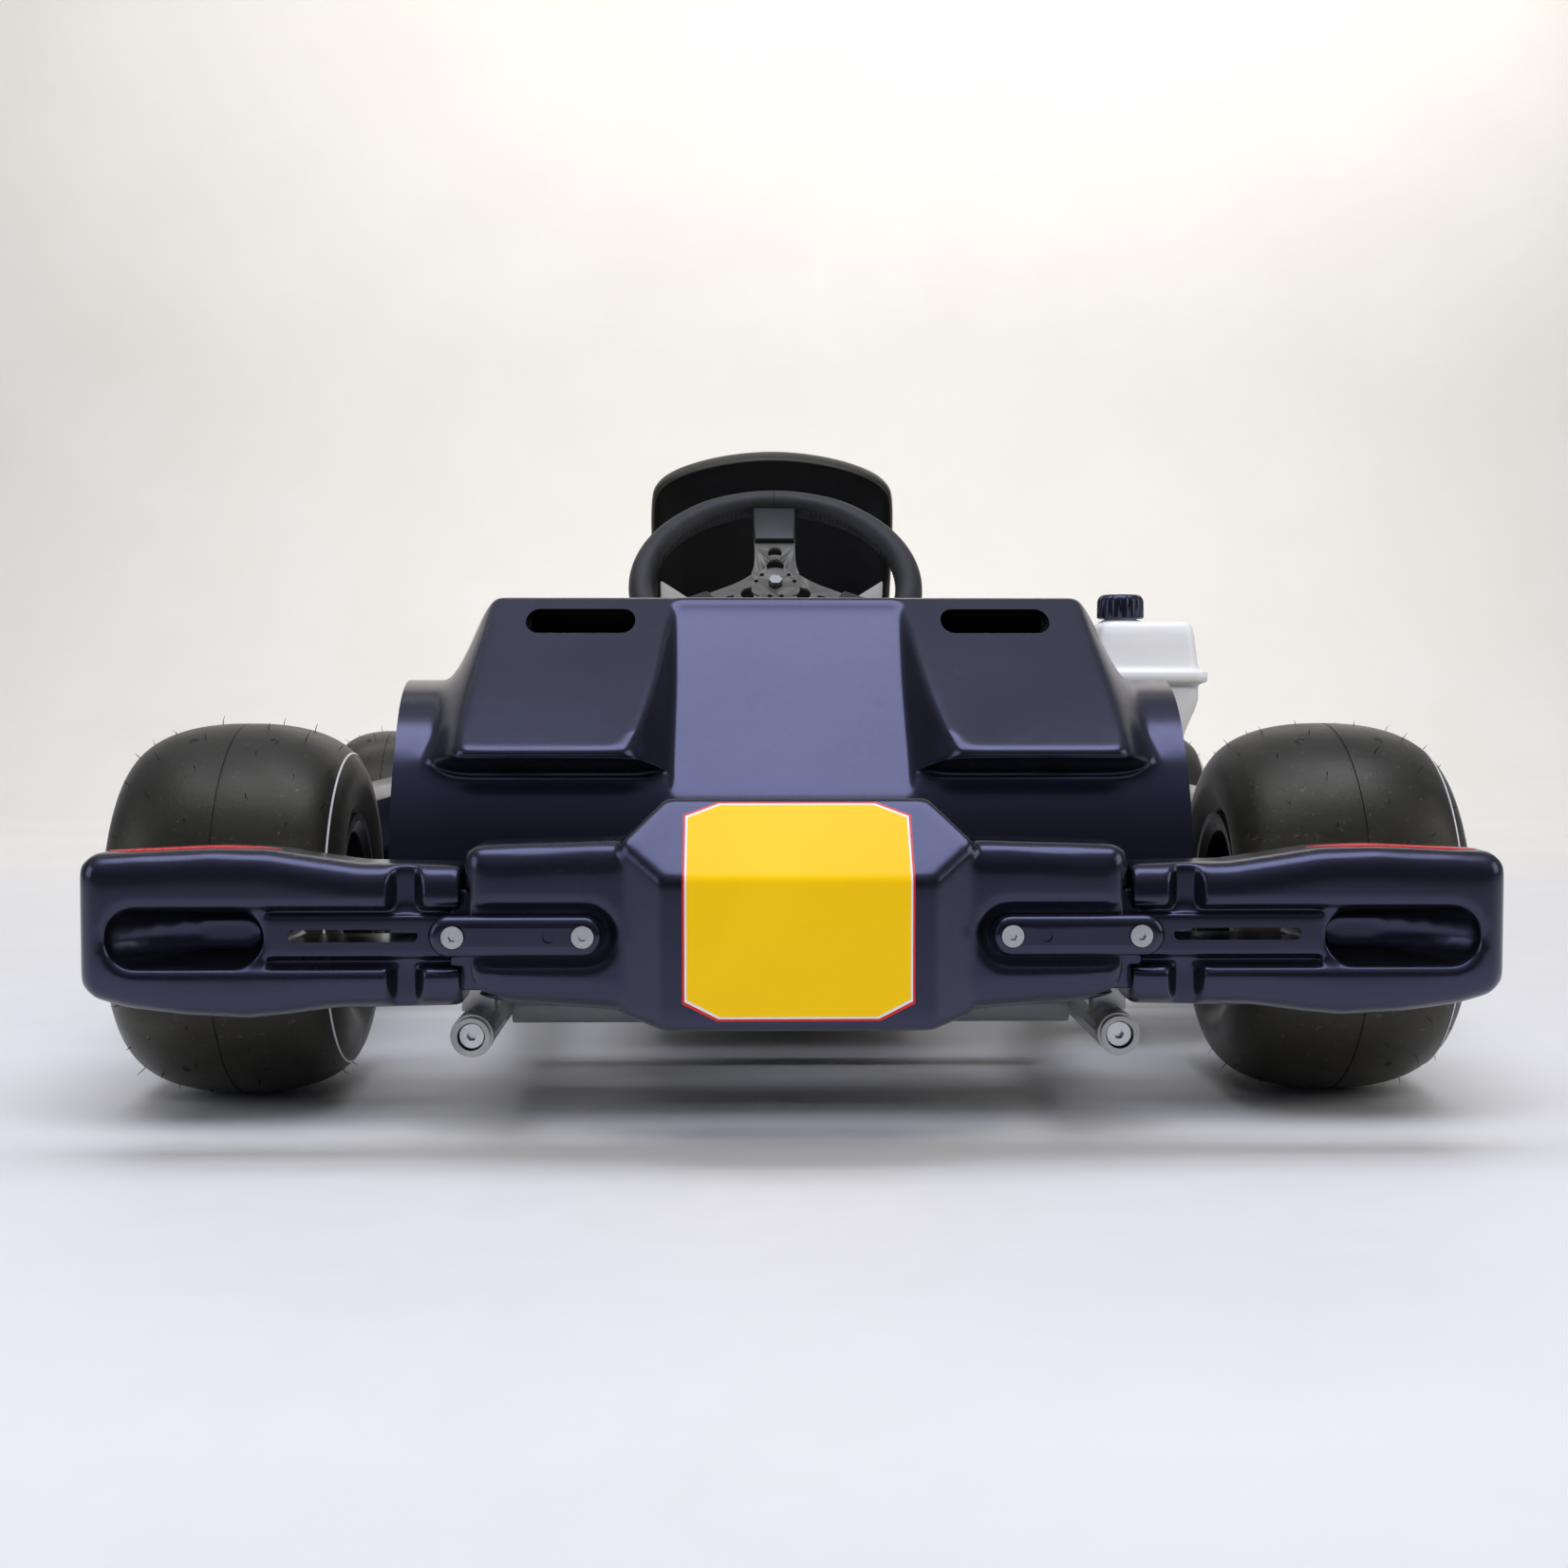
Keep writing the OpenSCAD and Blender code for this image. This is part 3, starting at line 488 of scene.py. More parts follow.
def build_cowl():
    xs = [-300 + 2.0 * i for i in range(301)]
    ts = [-14 + 1.2 * j for j in range(30)] + [22 + 1.0 * j for j in range(9)] + [31 + 0.25 * j for j in range(14)] + [34.5 + 65.5 * j / 88 for j in range(89)]
    bm = bmesh.new()
    g = [[bm.verts.new(cowl_point(x, t)) for x in xs] for t in ts]
    nx, nt = len(xs), len(ts)
    for j in range(nt - 1):
        for i in range(nx - 1):
            bm.faces.new((g[j][i], g[j][i + 1], g[j + 1][i + 1], g[j + 1][i]))
    inner = [g[j][i] for j in range(1, nt - 1) for i in range(1, nx - 1)]
    for _ in range(6):
        bmesh.ops.smooth_vert(bm, verts=inner, factor=0.5, use_axis_x=True, use_axis_y=True, use_axis_z=True)
    # the lip is rounded most at its edge, less and less away from it
    lip = [(ts[j], [g[j][i] for i in range(1, nx - 1) if abs(xs[i]) > 91]) for j in range(1, nt - 1) if 23 < ts[j] < 45]
    for k in range(56):
        near = [v for t, row in lip if abs(t - 33.2) < 10.0 - 0.13 * k for v in row]
        bmesh.ops.smooth_vert(bm, verts=near, factor=0.5, use_axis_x=True, use_axis_y=True, use_axis_z=True)
    bmesh.ops.recalc_face_normals(bm, faces=bm.faces)
    mid = bm.faces[len(bm.faces) // 2 + 20]
    if mid.normal.y > 0:
        bmesh.ops.reverse_faces(bm, faces=bm.faces)
    ob = make("rear_cowl_shell", bm, MATS["black_plastic"], None, keep=True)
    m = mod(ob, "SOLIDIFY", thickness=0.0042, offset=-1)
    m.use_even_offset = False
    bake(ob)
    for sx in (-158, 158):
        cut(ob, [prism(pill(sx - 32, sx + 32, 358, 9.6, 16), -60, 34, "y")])
        # closed matte black duct behind the opening, trimmed to the slope: a dark stand-in, painted shade for the
        # inside of the vent
        tub = prism(pill(sx - 32, sx + 32, 358, 11.2, 12), -14, 60, "y")
        knife = prism([(-151.4, 255.3), (32.6, 373.8), (-67.4, 528.8), (-251.4, 410.3)], sx - 60, sx + 60, "x")
        cut(tub, [prism(pill(sx - 32, sx + 32, 358, 9.8, 12), -40, 57, "y"), knife])
        put(tub, "cowl_vent_shade_duct_%s" % ("l" if sx < 0 else "r"), BLACK_AND_SHADE, "chassis", None, 40)
    sharp(ob, 55)
    finish(ob, "chassis", "rear_cowl")
    return ob


# ------------------------------------------------------------ bumper

BOSS = [(-283.4, 94), (-283.4, 186), (-234.4, 235), (-206, 235), (-199, 228), (-199, 88), (-278, 88)]
ARM = [(84, 92), (112, 97), (190, 103), (206, 107), (216, 118), (216, 200), (207, 206), (109, 209), (84, 226)]


def crowned(pts, s, xmax, steps, back):
    """Layers of an outline that shrink towards the front: a crowned moulding."""
    out = []
    for k, y in steps:
        out.append(prism([(s * min(x, xmax - k), z - k if z > 148 else z + k) for x, z in pts], y, back, "y"))
    return out


def build_bumper():
    parts = [prism(BOSS, -87, 87, "x")]
    for s in (-1, 1):
        arm = [(76, 92)] + ARM[1:-1] + [(76, 206)]
        parts += crowned(arm, s, 216, ((0, -248), (1.5, -252), (3.5, -255.5), (6.5, -258.6), (10.5, -260.8), (16, -262)), -199)
        flank = [(s * 86, y, z) for y, z in BOSS]
        flank += [(s * 114, y, z) for y in (-262, -199) for z in (97, 208)]
        parts.append(solid(flank))
    ob = join(parts, "bumper_center_shell")
    melt(ob, 0.0022, 8)
    tools = []
    for s in (-1, 1):
        x0, x1 = sorted((s * 138, s * 250))
        tools.append(prism(pill(x0, x1, 148, 23, 16), -290, -260.4, "y"))
        tools.append(prism(pill(x0, x1, 148, 19.5, 16), -290, -257.4, "y"))
    cut(ob, tools)
    melt(ob, 0.0020, 12)
    tools = []
    for s in (-1, 1):
        x0, x1 = sorted((s * 118, s * 240))
        tools.append(prism([(x0, 108.5), (x1, 108.5), (x1, 178.5), (x0, 178.5)], -255.6, -190, "y"))
        for a, b in ((138, 172), (206, 240)):
            x0, x1 = sorted((s * a, s * b))
            tools.append(prism(pill(x0, x1, 148, 4.6, 10), -275, -250, "y"))
    cut(ob, tools)
    ob.data.materials.clear()
    ob.data.materials.append(MATS["black_plastic"])
    lug = []
    for s in (-1, 1):
        bm = bmesh.new()
        ring = 28
        for r0, r1 in ((13.5, 8.2),):
            prof = [(-8, r1), (-8, r0 - 1.5), (-6.5, r0), (6.5, r0), (8, r0 - 1.5), (8, r1)]
            lathe(bm, prof, (s * 60, -183, 136), ring)
        bmesh.ops.recalc_face_normals(bm, faces=bm.faces)
        lug.append(make("lug", bm, None, None, keep=True))
        lug.append(prism([(s * 52, 124), (s * 68, 124), (s * 68, 148), (s * 52, 148)], -202, -194, "y"))
    lugs = join(lug, "bumper_lugs")
    bm = bmesh.new()
    bm.from_mesh(ob.data)
    bm.from_mesh(lugs.data)
    bm.to_mesh(ob.data)
    bm.free()
    drop(lugs)
    sharp(ob, 50)
    finish(ob, "chassis", "bumper_center")
    return ob


WING = [(217.5, 100), (262, 99), (300, 98.5), (332, 94), (358, 91.5), (400, 94), (436, 99), (457, 105), (466, 114),
        (466, 192), (457, 200), (380, 203.5), (344, 202.5), (312, 197.5), (285, 193.5), (217.5, 192.5)]


def build_wing(side):
    s = -1 if side == "left" else 1
    layers = crowned(WING, s, 466, ((0, -241), (1.5, -245), (3.5, -248.5), (6.5, -251.6), (10.5, -253.8), (16, -255)), -199)
    body = join(layers, "wing_layers")
    melt(body, 0.0022, 14)
    tools = []
    lo, hi = sorted((s * 215, s * 427))
    tools.append(solid([(x, y, z) for r, y in ((24, -256), (17, -249)) for x, z in pill(lo, hi, 145.2, r, 16)]))
    # scoop: a ramp that runs in from the outer end and drops off at the bed plate
    shape = []
    for outer, r, y in ((430, 18.5, -251), (425, 17.5, -243), (418, 16.5, -234), (409, 15, -225), (398, 12.5, -217), (386, 9.5, -212)):
        lo, hi = sorted((s * 364, s * outer))
        shape += [(x, y, z) for x, z in pill(lo, hi, 145.2, r, 14)]
    tools.append(solid(shape))
    # vertical valleys in the rails above and below the bed
    for z0, z1 in ((163.5, 225), (70, 127.5)):
        tools.append(solid([(s * x, y, z) for x, y in ((239, -259), (248, -242.5), (260, -242.5), (269, -259)) for z in (z0, z1)]))
    # shadow gaps under and over the bed plate
    a, b = sorted((s * 210, s * 344))
    tools.append(prism([(a, 126.5), (b, 126.5), (b, 132.6), (a, 132.6)], -275, -243, "y"))
    tools.append(prism([(a, 159.6), (b, 159.6), (b, 164.8), (a, 164.8)], -275, -244, "y"))
    cut(body, tools)
    melt(body, 0.0019, 12)
    a, b = sorted((s * 250, s * 326))
    cut(body, [prism(pill(a, b, 146.8, 4.0, 10), -275, -190, "y")])
    tongue = prism([(s * 150, 110.5), (s * 226, 110.5), (s * 226, 176.5), (s * 150, 176.5)], -246, -199, "y")
    mod(tongue, "BEVEL", width=0.003, segments=3)
    bake(tongue)
    ob = join([body, tongue], "bumper_wing_%s_shell" % side)
    ob.data.materials.clear()
    ob.data.materials.append(MATS["black_plastic"])
    sharp(ob, 50)
    finish(ob, "wing_%s" % side, "bumper_wing_%s" % side)
    # red trim strip along the top face
    crest = [(466.5, 191.5), (457, 200.0), (380, 203.5), (344, 202.5), (312, 197.5), (285, 193.5)]
    bm = bmesh.new()
    rows = []
    n = 60
    for i in range(n + 1):
        x = lerp(451, 338, i / n)
        z = 0.0
        for k in (-2, 0, 2):
            xx = x + k * 3
            for (xa, za), (xb, zb) in zip(crest, crest[1:]):
                if xb <= xx <= xa:
                    z += lerp(za, zb, (xa - xx) / (xa - xb)) / 3.0
                    break
            else:
                z += 193.5 / 3.0
        w = 10.0 * (1 - (1 - clamp(5.0 * i / n)) ** 2) * clamp(4.0 * (n - i) / n) + 0.3
        rows.append([bm.verts.new(P(s * x, y, z + dz)) for y, dz in
                     ((-227 - w, -2.5), (-227 - w, 0.15), (-227 - w + 0.4, 0.5), (-227 + w - 0.4, 0.5), (-227 + w, 0.15), (-227 + w, -2.5))])
    for A, B in zip(rows, rows[1:]):
        for k in range(6):
            j = (k + 1) % 6
            bm.faces.new((A[k], A[j], B[j], B[k]))
    bm.faces.new(rows[0])
    bm.faces.new(rows[-1][::-1])
    bmesh.ops.recalc_face_normals(bm, faces=bm.faces)
    st = make("wing_trim_%s" % side, bm, RED, None, keep=True)
    sharp(st, 50)
    finish(st, "wing_%s" % side, None)
    # strap
    a, b = sorted((s * 138, s * 224))
    st = solid([(x, y, z) for r, y in ((13.0, -259.8), (13.4, -260.4), (13.4, -262.5), (12.9, -264.6), (11.9, -266.4), (10.3, -267.8), (8.3, -268.7), (6.0, -269.0))
                for x, z in pill(a, b, 148, r, 24)])
    tools = []
    for x in (138, 221):
        tools.append(prism(circle(s * x, 148, 7.9, 32), -275, -264.6, "y"))
        tools.append(prism(circle(s * x, 148, 4.3, 24), -275, -250, "y"))
    tools.append(prism(circle(s * 160, 148, 3.9, 24), -275, -266.5, "y"))
    cut(st, tools)
    st.data.materials.clear()
    st.data.materials.append(MATS["black_plastic"])
    st.name = "bumper_strap_%s_cap" % side
    sharp(st, 40)
    finish(st, "wing_%s" % side, "bumper_strap_%s" % side)
    return ob


def build_panel():
    """Plate on the bumper boss: red rim, white line, yellow field, bent at the crease."""
    def outline(inset):
        w, h0, h1 = 74 - inset, 96 + inset, 186 + 64.4 - inset
        c = 11.0
        return [(-w + 22 - inset * 0.3, h0), (w - 22 + inset * 0.3, h0), (w, h0 + c), (w, h1 - c), (w - 22 + inset * 0.3, h1),
                (-w + 22 - inset * 0.3, h1), (-w, h1 - c), (-w, h0 + c)]

    def place(x, h, d):
        """h runs up the plate; the plate bends 45 degrees over a small radius at the crease."""
        R, h0 = 7.0, 186 - 2.9
        L = R * math.radians(45)
        if h <= h0:
            return P(x, -283.5 - d, h)
        if h < h0 + L:
            a = (h - h0) / R
        else:
            a = math.radians(45)
        y = -283.5 + R * (1 - math.cos(a))
        z = h0 + R * math.sin(a)
        e = max(0.0, h - h0 - L)
        y += e * math.sin(a)
        z += e * math.cos(a)
        return P(x, y - d * math.cos(a), z + d * math.sin(a))

    def layer(name, inset, d0, d1, mat):
        pts = outline(inset)
        bm = bmesh.new()
        n = 44
        lo, hi = pts[0][1], pts[4][1]
        rows = []
        hs = sorted(set([lerp(lo, hi, i / n) for i in range(n + 1)] + [lo + 11, hi - 11]
                        + [183.1 + 5.5 * k / 6 for k in range(7)]))
        for h in hs:
            w = pts[2][0]
            if h < lo + 11:
                w = lerp(pts[1][0], w, (h - lo) / 11)
            elif h > hi - 11:
                w = lerp(pts[4][0], w, (hi - h) / 11)
            rows.append((h, w))
        top = [[bm.verts.new(place(w * u, h, d1)) for u in (-1, -0.5, 0, 0.5, 1)] for h, w in rows]
        bot = [[bm.verts.new(place(w * u, h, d0)) for u in (-1, -0.5, 0, 0.5, 1)] for h, w in rows]
        for A, B in zip(range(len(rows)), range(1, len(rows))):
            for i in range(4):
                bm.faces.new((top[A][i], top[A][i + 1], top[B][i + 1], top[B][i]))
                bm.faces.new((bot[A][i], bot[B][i], bot[B][i + 1], bot[A][i + 1]))
            bm.faces.new((top[A][0], top[B][0], bot[B][0], bot[A][0]))
            bm.faces.new((top[A][4], bot[A][4], bot[B][4], top[B][4]))
        for i in range(4):
            bm.faces.new((top[0][i], bot[0][i], bot[0][i + 1], top[0][i + 1]))
            bm.faces.new((top[-1][i], top[-1][i + 1], bot[-1][i + 1], bot[-1][i]))
        bmesh.ops.recalc_face_normals(bm, faces=bm.faces)
        ob = make(name, bm, mat, None, keep=True)
        sharp(ob, 35)
        return ob

    a = layer("number_panel_rim", 0.0, -0.6, 1.5, RED)
    finish(a, "chassis", "number_panel")
    b = layer("number_panel_line", 1.5, 0.9, 1.75, WHITE)
    finish(b, "chassis", None)
    c = layer("number_panel_field", 2.9, 0.9, 2.0, MATS["number_yellow"])
    finish(c, "chassis", None)


# ------------------------------------------------------------ tyres

def tyre_profile(R, W, bead_r, b, n=72):
    """Outer crown from one bead to the other, then the inside back."""
    r0 = bead_r + (R - bead_r) * 0.34
    pts = []

    def crown(a):
        c, s = math.cos(a), math.sin(a)
        return (W * math.copysign(abs(c) ** 0.86, c), r0 + (R - r0) * abs(s) ** 0.78)
    pts.append((-b, bead_r + 1.5))
    pts.append((-b - 2.0, bead_r + 5))
    pts.append((-b - (W - b) * 0.55, bead_r + 12))
    for i in range(n + 1):
        a = math.pi * (1 - i / n)
        u, r = crown(a)
        if i == n // 2:
            pts += [(-1.1, R), (-0.6, R - 0.9), (0.6, R - 0.9), (1.1, R)]
        else:
            pts.append((u, r))
    pts.append((b + (W - b) * 0.55, bead_r + 12))
    pts.append((b + 2.0, bead_r + 5))
    pts.append((b, bead_r + 1.5))
    inner = []
    for i in range(0, 25):
        a = math.pi * i / 24
        c, s = math.cos(a), math.sin(a)
        inner.append(((b - 5) * math.copysign(abs(c) ** 0.8, c), bead_r + 3 + (R - bead_r - 12) * abs(s) ** 0.7))
    return pts, inner, crown


def build_tyre(name, centres, R, W, bead_r, b, body, node, side_line=1):
    rnd = random.Random(7 if R > 130 else 11)
    bm = bmesh.new()
    for cx, cy, cz in centres:
        pts, inner, crown = tyre_profile(R, W, bead_r, b)
        # crisp centre mould seam
        lathe(bm, pts + inner, (cx, cy, cz), 192)
        # white ring on the shoulder
        a0 = (0.46 if cx < 0 else 0.62) if R > 130 else (0.80 if cx < 0 else 0.48)
        ring = []
        for k in range(4):
            a = a0 + (0.0055 if a0 > 0.6 else 0.009) * k
            u, r = crown(a)
            ring.append((side_line * u, r))
        uo, ro = ring[0]
        prof = [(side_line * (abs(u) + 0.35), r + 0.45) for u, r in ring] + [(side_line * (abs(u) - 0.4), r - 0.4) for u, r in ring[::-1]]
        lathe(bm, prof, (cx, cy, cz), 192, mat=1)
        # moulding hairs
        for row in range(6):
            a = lerp(0.62, math.pi - 0.62, row / 5.0)
            u, r = crown(a)
            da = 0.002
            u2, r2 = crown(a + da)
            nrm = Vector((r2 - r, 0, -(u2 - u))).normalized()
            if nrm.z < 0:
                nrm = -nrm
            count = 18
            for i in range(count):
                ph = 2 * math.pi * (i + (row % 2) * 0.5 + rnd.uniform(-0.12, 0.12)) / count
                L = rnd.uniform(3.0, 7.5)
                c, s = math.cos(ph), math.sin(ph)
                base = Vector((u, r * c, r * s))
                if cz + (r + L + 2.0) * s < 1.0:
                    continue
                d = Vector((nrm.x, nrm.z * c, nrm.z * s))
                bend = Vector((rnd.uniform(-1, 1), rnd.uniform(-1, 1), rnd.uniform(-1, 1))) * 0.35
                t1 = d.orthogonal().normalized()
                t2 = d.cross(t1)
                rings = []
                for f, rad in ((-0.12, 0.42), (0.5, 0.34), (1.0, 0.15)):
                    o = base + (d + bend * max(f, 0)) * (L * f)
                    rings.append([bm.verts.new(P(cx + v.x, cy + v.y, cz + v.z)) for v in
                                  (o + (t1 * math.cos(q) + t2 * math.sin(q)) * rad for q in (0, 2.094, 4.189))])
                for A, B in zip(rings, rings[1:]):
                    for k in range(3):
                        j = (k + 1) % 3
                        bm.faces.new((A[k], A[j], B[j], B[k]))
                bm.faces.new(rings[-1])
                bm.faces.new(rings[0][::-1])
        # wear gauge dimples: raised lip round a shallow cup painted near-black as the shade in the pit
        for us in (-0.34, 0.34):
            for i in range(6):
                ph = math.radians(112 + 60 * i)
                a = math.acos(clamp(abs(us) ** (1 / 0.86)))
                a = a if us > 0 else math.pi - a
                u, r = crown(a)
                for rr, hh, mi in (((4.2, 3.1), (0.0, 0.35), 0), ((3.1, 0.0), (0.35, 0.12), 2)):
                    ra, rb = rr
                    A, B = [], []
                    for q in range(14):
                        th = 2 * math.pi * q / 14
                        for lst, rad, h in ((A, ra, hh[0]), (B, rb, hh[1])):
                            if rad == 0.0 and lst:
                                lst.append(lst[0])
                                continue
                            rloc = r + h
                            ang = ph + rad * math.sin(th) / r
                            lst.append(bm.verts.new(P(cx + u + rad * math.cos(th), cy + rloc * math.cos(ang), cz + rloc * math.sin(ang))))
                    for q in range(14):
                        j = (q + 1) % 14
                        if rb == 0.0:
                            f = bm.faces.new((A[q], A[j], B[0]))
                        else:
                            f = bm.faces.new((A[q], A[j], B[j], B[q]))
                        f.material_index = mi
    bmesh.ops.recalc_face_normals(bm, faces=bm.faces)
    ob = make(name, bm, MATS["tyre"], None, keep=True)
    ob.data.materials.append(WHITE)
    # slot 2: painted shade in the wear pits
    ob.data.materials.append(BLACK_AND_SHADE)
    sharp(ob, 50)
    finish(ob, body, node)
    return ob


# ------------------------------------------------------------ moulded shells

def discs(items, place=None, name="hull", n=28):
    """Hull of upright discs (x, y, z, r, h), mirrored by the caller."""
    pts = []
    for x, y, z, r, h in items:
        for zz in (z, z + h):
            for i in range(n):
                a = 2 * math.pi * i / n
                pts.append((x + r * math.cos(a), y + r * math.sin(a), zz))
    if place:
        pts = [place(*p) for p in pts]
    return solid(pts, None, name)


def both(items):
    return [(s * x, y, z, r, h) for x, y, z, r, h in items for s in (-1, 1)]


def put(ob, name, mat, body, node, deg=45):
    ob.name = name
    ob.data.materials.clear()
    ob.data.materials.append(mat)
    sharp(ob, deg)
    finish(ob, body, node)
    return ob


def build_seat():
    def bucket(d):
        it = [(104, 208, 70 + d, 34 - d, 1), (100, 408, 70 + d, 30 - d, 1), (128, 176, 170, 42 - d, 1), (124, 414, 170, 36 - d, 1),
              (120, 148, 300, 40 - d, 1), (126, 360, 300, 36 - d, 1), (96, 126, 369 + d * 2, 30 - d, 1), (120, 190, 369 + d * 2, 24 - d, 1)]
        o = discs(both(it))
        melt(o, 0.005, 14)
        return o
    ob, tool = bucket(0), bucket(5)
    c, s = math.cos(math.radians(-48)), math.sin(math.radians(-48))
    pts = []
    for x in (-250, 250):
        for y in (0, 600):
            for z in (0, 300):
                pts.append((x, 224 + y * c - z * s, 372 + y * s + z * c))
    tools = [tool, solid(pts), prism([(-250, 190), (250, 190), (250, 590), (-250, 590)], 320, 520, "z"),
             prism([(-250, 60), (250, 60), (250, 590), (-250, 590)], 361, 520, "z")]
    cut(ob, tools, solver="MANIFOLD")
    put(ob, "bucket_seat_shell", MATS["seat_shell"], "chassis", "bucket_seat")
    return ob


def rounded(x0, x1, y0, y1, r, z, n=8):
    out = []
    for cx, cy, a0 in ((x1 - r, y1 - r, 0), (x0 + r, y1 - r, 90), (x0 + r, y0 + r, 180), (x1 - r, y0 + r, 270)):
        for i in range(n + 1):
            a = math.radians(a0 + 90.0 * i / n)
            out.append((cx + r * math.cos(a), cy + r * math.sin(a), z))
    return out


def stack(rings, name):
    bm = bmesh.new()
    vs = [[bm.verts.new(P(*p)) for p in ring] for ring in rings]
    for A, B in zip(vs, vs[1:]):
        for i in range(len(A)):
            j = (i + 1) % len(A)
            bm.faces.new((A[i], A[j], B[j], B[i]))
    bm.faces.new(vs[0][::-1])
    bm.faces.new(vs[-1])
    bmesh.ops.recalc_face_normals(bm, faces=bm.faces)
    return make(name, bm, None, None, keep=True)


def build_tank():
    def ring(inset, z, r):
        return rounded(260 + inset, 356 - inset - 14.0 * smooth((303.0 - z) / 46.0), 156 + inset, 364 - inset, max(r - inset * 0.4, 3), z)
    prof = [(20, 97), (13, 97.6), (8, 100), (5, 105), (4, 112), (4, 180), (5.6, 187), (5.6, 195), (4, 202), (4, 256), (4, 262), (4, 268), (4, 274), (4, 280), (4, 286), (4, 292), (4, 298),
            (4.5, 306), (4.2, 309), (2.0, 310.5), (-1.2, 311.4), (-2.2, 312.6), (-2.2, 319.4), (-1.2, 320.8), (2.0, 321.8), (4.4, 323.4), (5.0, 326), (6.6, 340), (8.2, 352),
            (9.2, 357.5), (10.8, 360.6), (13.6, 362.4), (18, 363), (30, 363.4)]
    rings = [ring(i, z, 14) for i, z in prof]
    ob = stack(rings, "tank_body")
    bm = bmesh.new()
    bm.from_mesh(ob.data)
    prof = [(346, 19), (361, 19), (363.5, 18.5), (365.2, 15), (365.5, 13.8), (372, 13.6), (372, 10), (352, 10)]
    n = 48
    rows = [[bm.verts.new(P(292 + r * math.cos(2 * math.pi * i / n), 212 + r * math.sin(2 * math.pi * i / n), z)) for i in range(n)] for z, r in prof]
    for A, B in zip(rows, rows[1:]):
        for i in range(n):
            j = (i + 1) % n
            bm.faces.new((A[i], A[j], B[j], B[i]))
    bm.faces.new(rows[0][::-1])
    bm.faces.new(rows[-1])
    bmesh.ops.recalc_face_normals(bm, faces=bm.faces)
    bm.to_mesh(ob.data)
    bm.free()
    put(ob, "fuel_tank_body", MATS["tank_white"], "chassis", "fuel_tank", 60)
    # cap: knurled skirt, crowned top
    bm = bmesh.new()
    n = 240
    rows = []
    prof = [(366.2, 14.1, 0), (366.2, 18.6, 0.3), (367.2, 19.6, 1), (381.0, 19.4, 1), (383.8, 18.6, 0.8), (386.0, 17.0, 0.25), (386.9, 15, 0), (386.9, 13.6, 0), (386.2, 12.5, 0), (386.0, 6, 0), (386.3, 1, 0)]
    for z, r, k in prof:
        ring_r = [r + k * 1.5 * (abs(math.cos(8 * 2 * math.pi * i / n)) ** 0.5 - 0.55) for i in range(n)]
        rows.append([bm.verts.new(P(292 + ring_r[i] * math.cos(2 * math.pi * i / n), 212 + ring_r[i] * math.sin(2 * math.pi * i / n), z)) for i in range(n)])
    for A, B in zip(rows, rows[1:]):
        for i in range(n):
            j = (i + 1) % n
            bm.faces.new((A[i], A[j], B[j], B[i]))
    bm.faces.new(rows[-1])
    under = [[bm.verts.new(P(292 + r * math.cos(2 * math.pi * i / n), 212 + r * math.sin(2 * math.pi * i / n), z)) for i in range(n)] for z, r in ((374, 14.1),)]
    for i in range(n):
        j = (i + 1) % n
        bm.faces.new((rows[0][j], rows[0][i], under[0][i], under[0][j]))
    bm.faces.new(under[0][::-1])
    bmesh.ops.recalc_face_normals(bm, faces=bm.faces)
    cap = make("fuel_cap_knurled", bm, None, None, keep=True)
    put(cap, "fuel_cap_knurled", MATS["black_plastic"], "fuel_cap", "fuel_cap", 50)


def build_nassau():
    rot = Matrix.Rotation(math.radians(26), 4, "X")

    def place(x, y, z):
        v = rot @ Vector((x, y, z))
        return (v.x, 868 + v.y, 276 + v.z)

    # outline of the open rim: straight sides, arched top
    ctl = [(-112, 4), (112, 4), (126, 22), (131, 90), (133, 180), (133, 262), (126, 284), (96, 301), (50, 313), (0, 317.5),
           (-50, 313), (-96, 301), (-126, 284), (-133, 262), (-133, 180), (-131, 90), (-126, 22)]
    for _ in range(3):
        ctl = [q for a, b in zip(ctl, ctl[1:] + ctl[:1]) for q in
               ((0.75 * a[0] + 0.25 * b[0], 0.75 * a[1] + 0.25 * b[1]), (0.25 * a[0] + 0.75 * b[0], 0.25 * a[1] + 0.75 * b[1]))]
    deep = [(-11, 1.5), (-10, 0), (-4, -1.6), (4, -2.2), (12, -1), (20, 3), (27, 9), (33, 17), (38, 28), (41, 42), (43, 60), (44, 84), (44.5, 112)]
    bm = bmesh.new()
    rows = []
    for y, inset in deep:
        rows.append([bm.verts.new(P(*place(x * (1 - inset / 134.0), y, 160 + (z - 160) * (1 - inset / 158.0)))) for x, z in ctl])
    for A, B in zip(rows, rows[1:]):
        for i in range(len(A)):
            j = (i + 1) % len(A)
            bm.faces.new((A[i], A[j], B[j], B[i]))
    bm.faces.new(rows[-1])
    bmesh.ops.recalc_face_normals(bm, faces=bm.faces)
    front = max(bm.faces, key=lambda f: f.calc_center_median().y)
    if front.normal.y < 0:
        bmesh.ops.reverse_faces(bm, faces=bm.faces)
    ob = make("nassau_shell", bm, None, None, keep=True)
    ob.data.materials.clear()
    ob.data.materials.append(SATIN)
    ob.data.materials.append(BLACK_AND_SHADE)
    # the inner face of the hollow, toward the driver, takes the near-black: painted shade inside the shell
    mod(ob, "SOLIDIFY", thickness=0.0045, offset=-1, material_offset=1)
    bake(ob)
    sharp(ob, 50)
    finish(ob, "chassis", "nassau_panel")
    # inner corner gussets
    for s in (-1, 1):
        g = solid([place(s * 126, y, z) for y, z in ((-6, 118), (-6, 172), (20, 122))] + [place(s * 84, y, z) for y, z in ((-6, 112), (-4, 142), (20, 116))])
        mod(g, "BEVEL", width=0.0015, segments=2)
        bake(g)
        put(g, "nassau_gusset_%s" % ("l" if s < 0 else "r"), WHITE, "chassis", None)


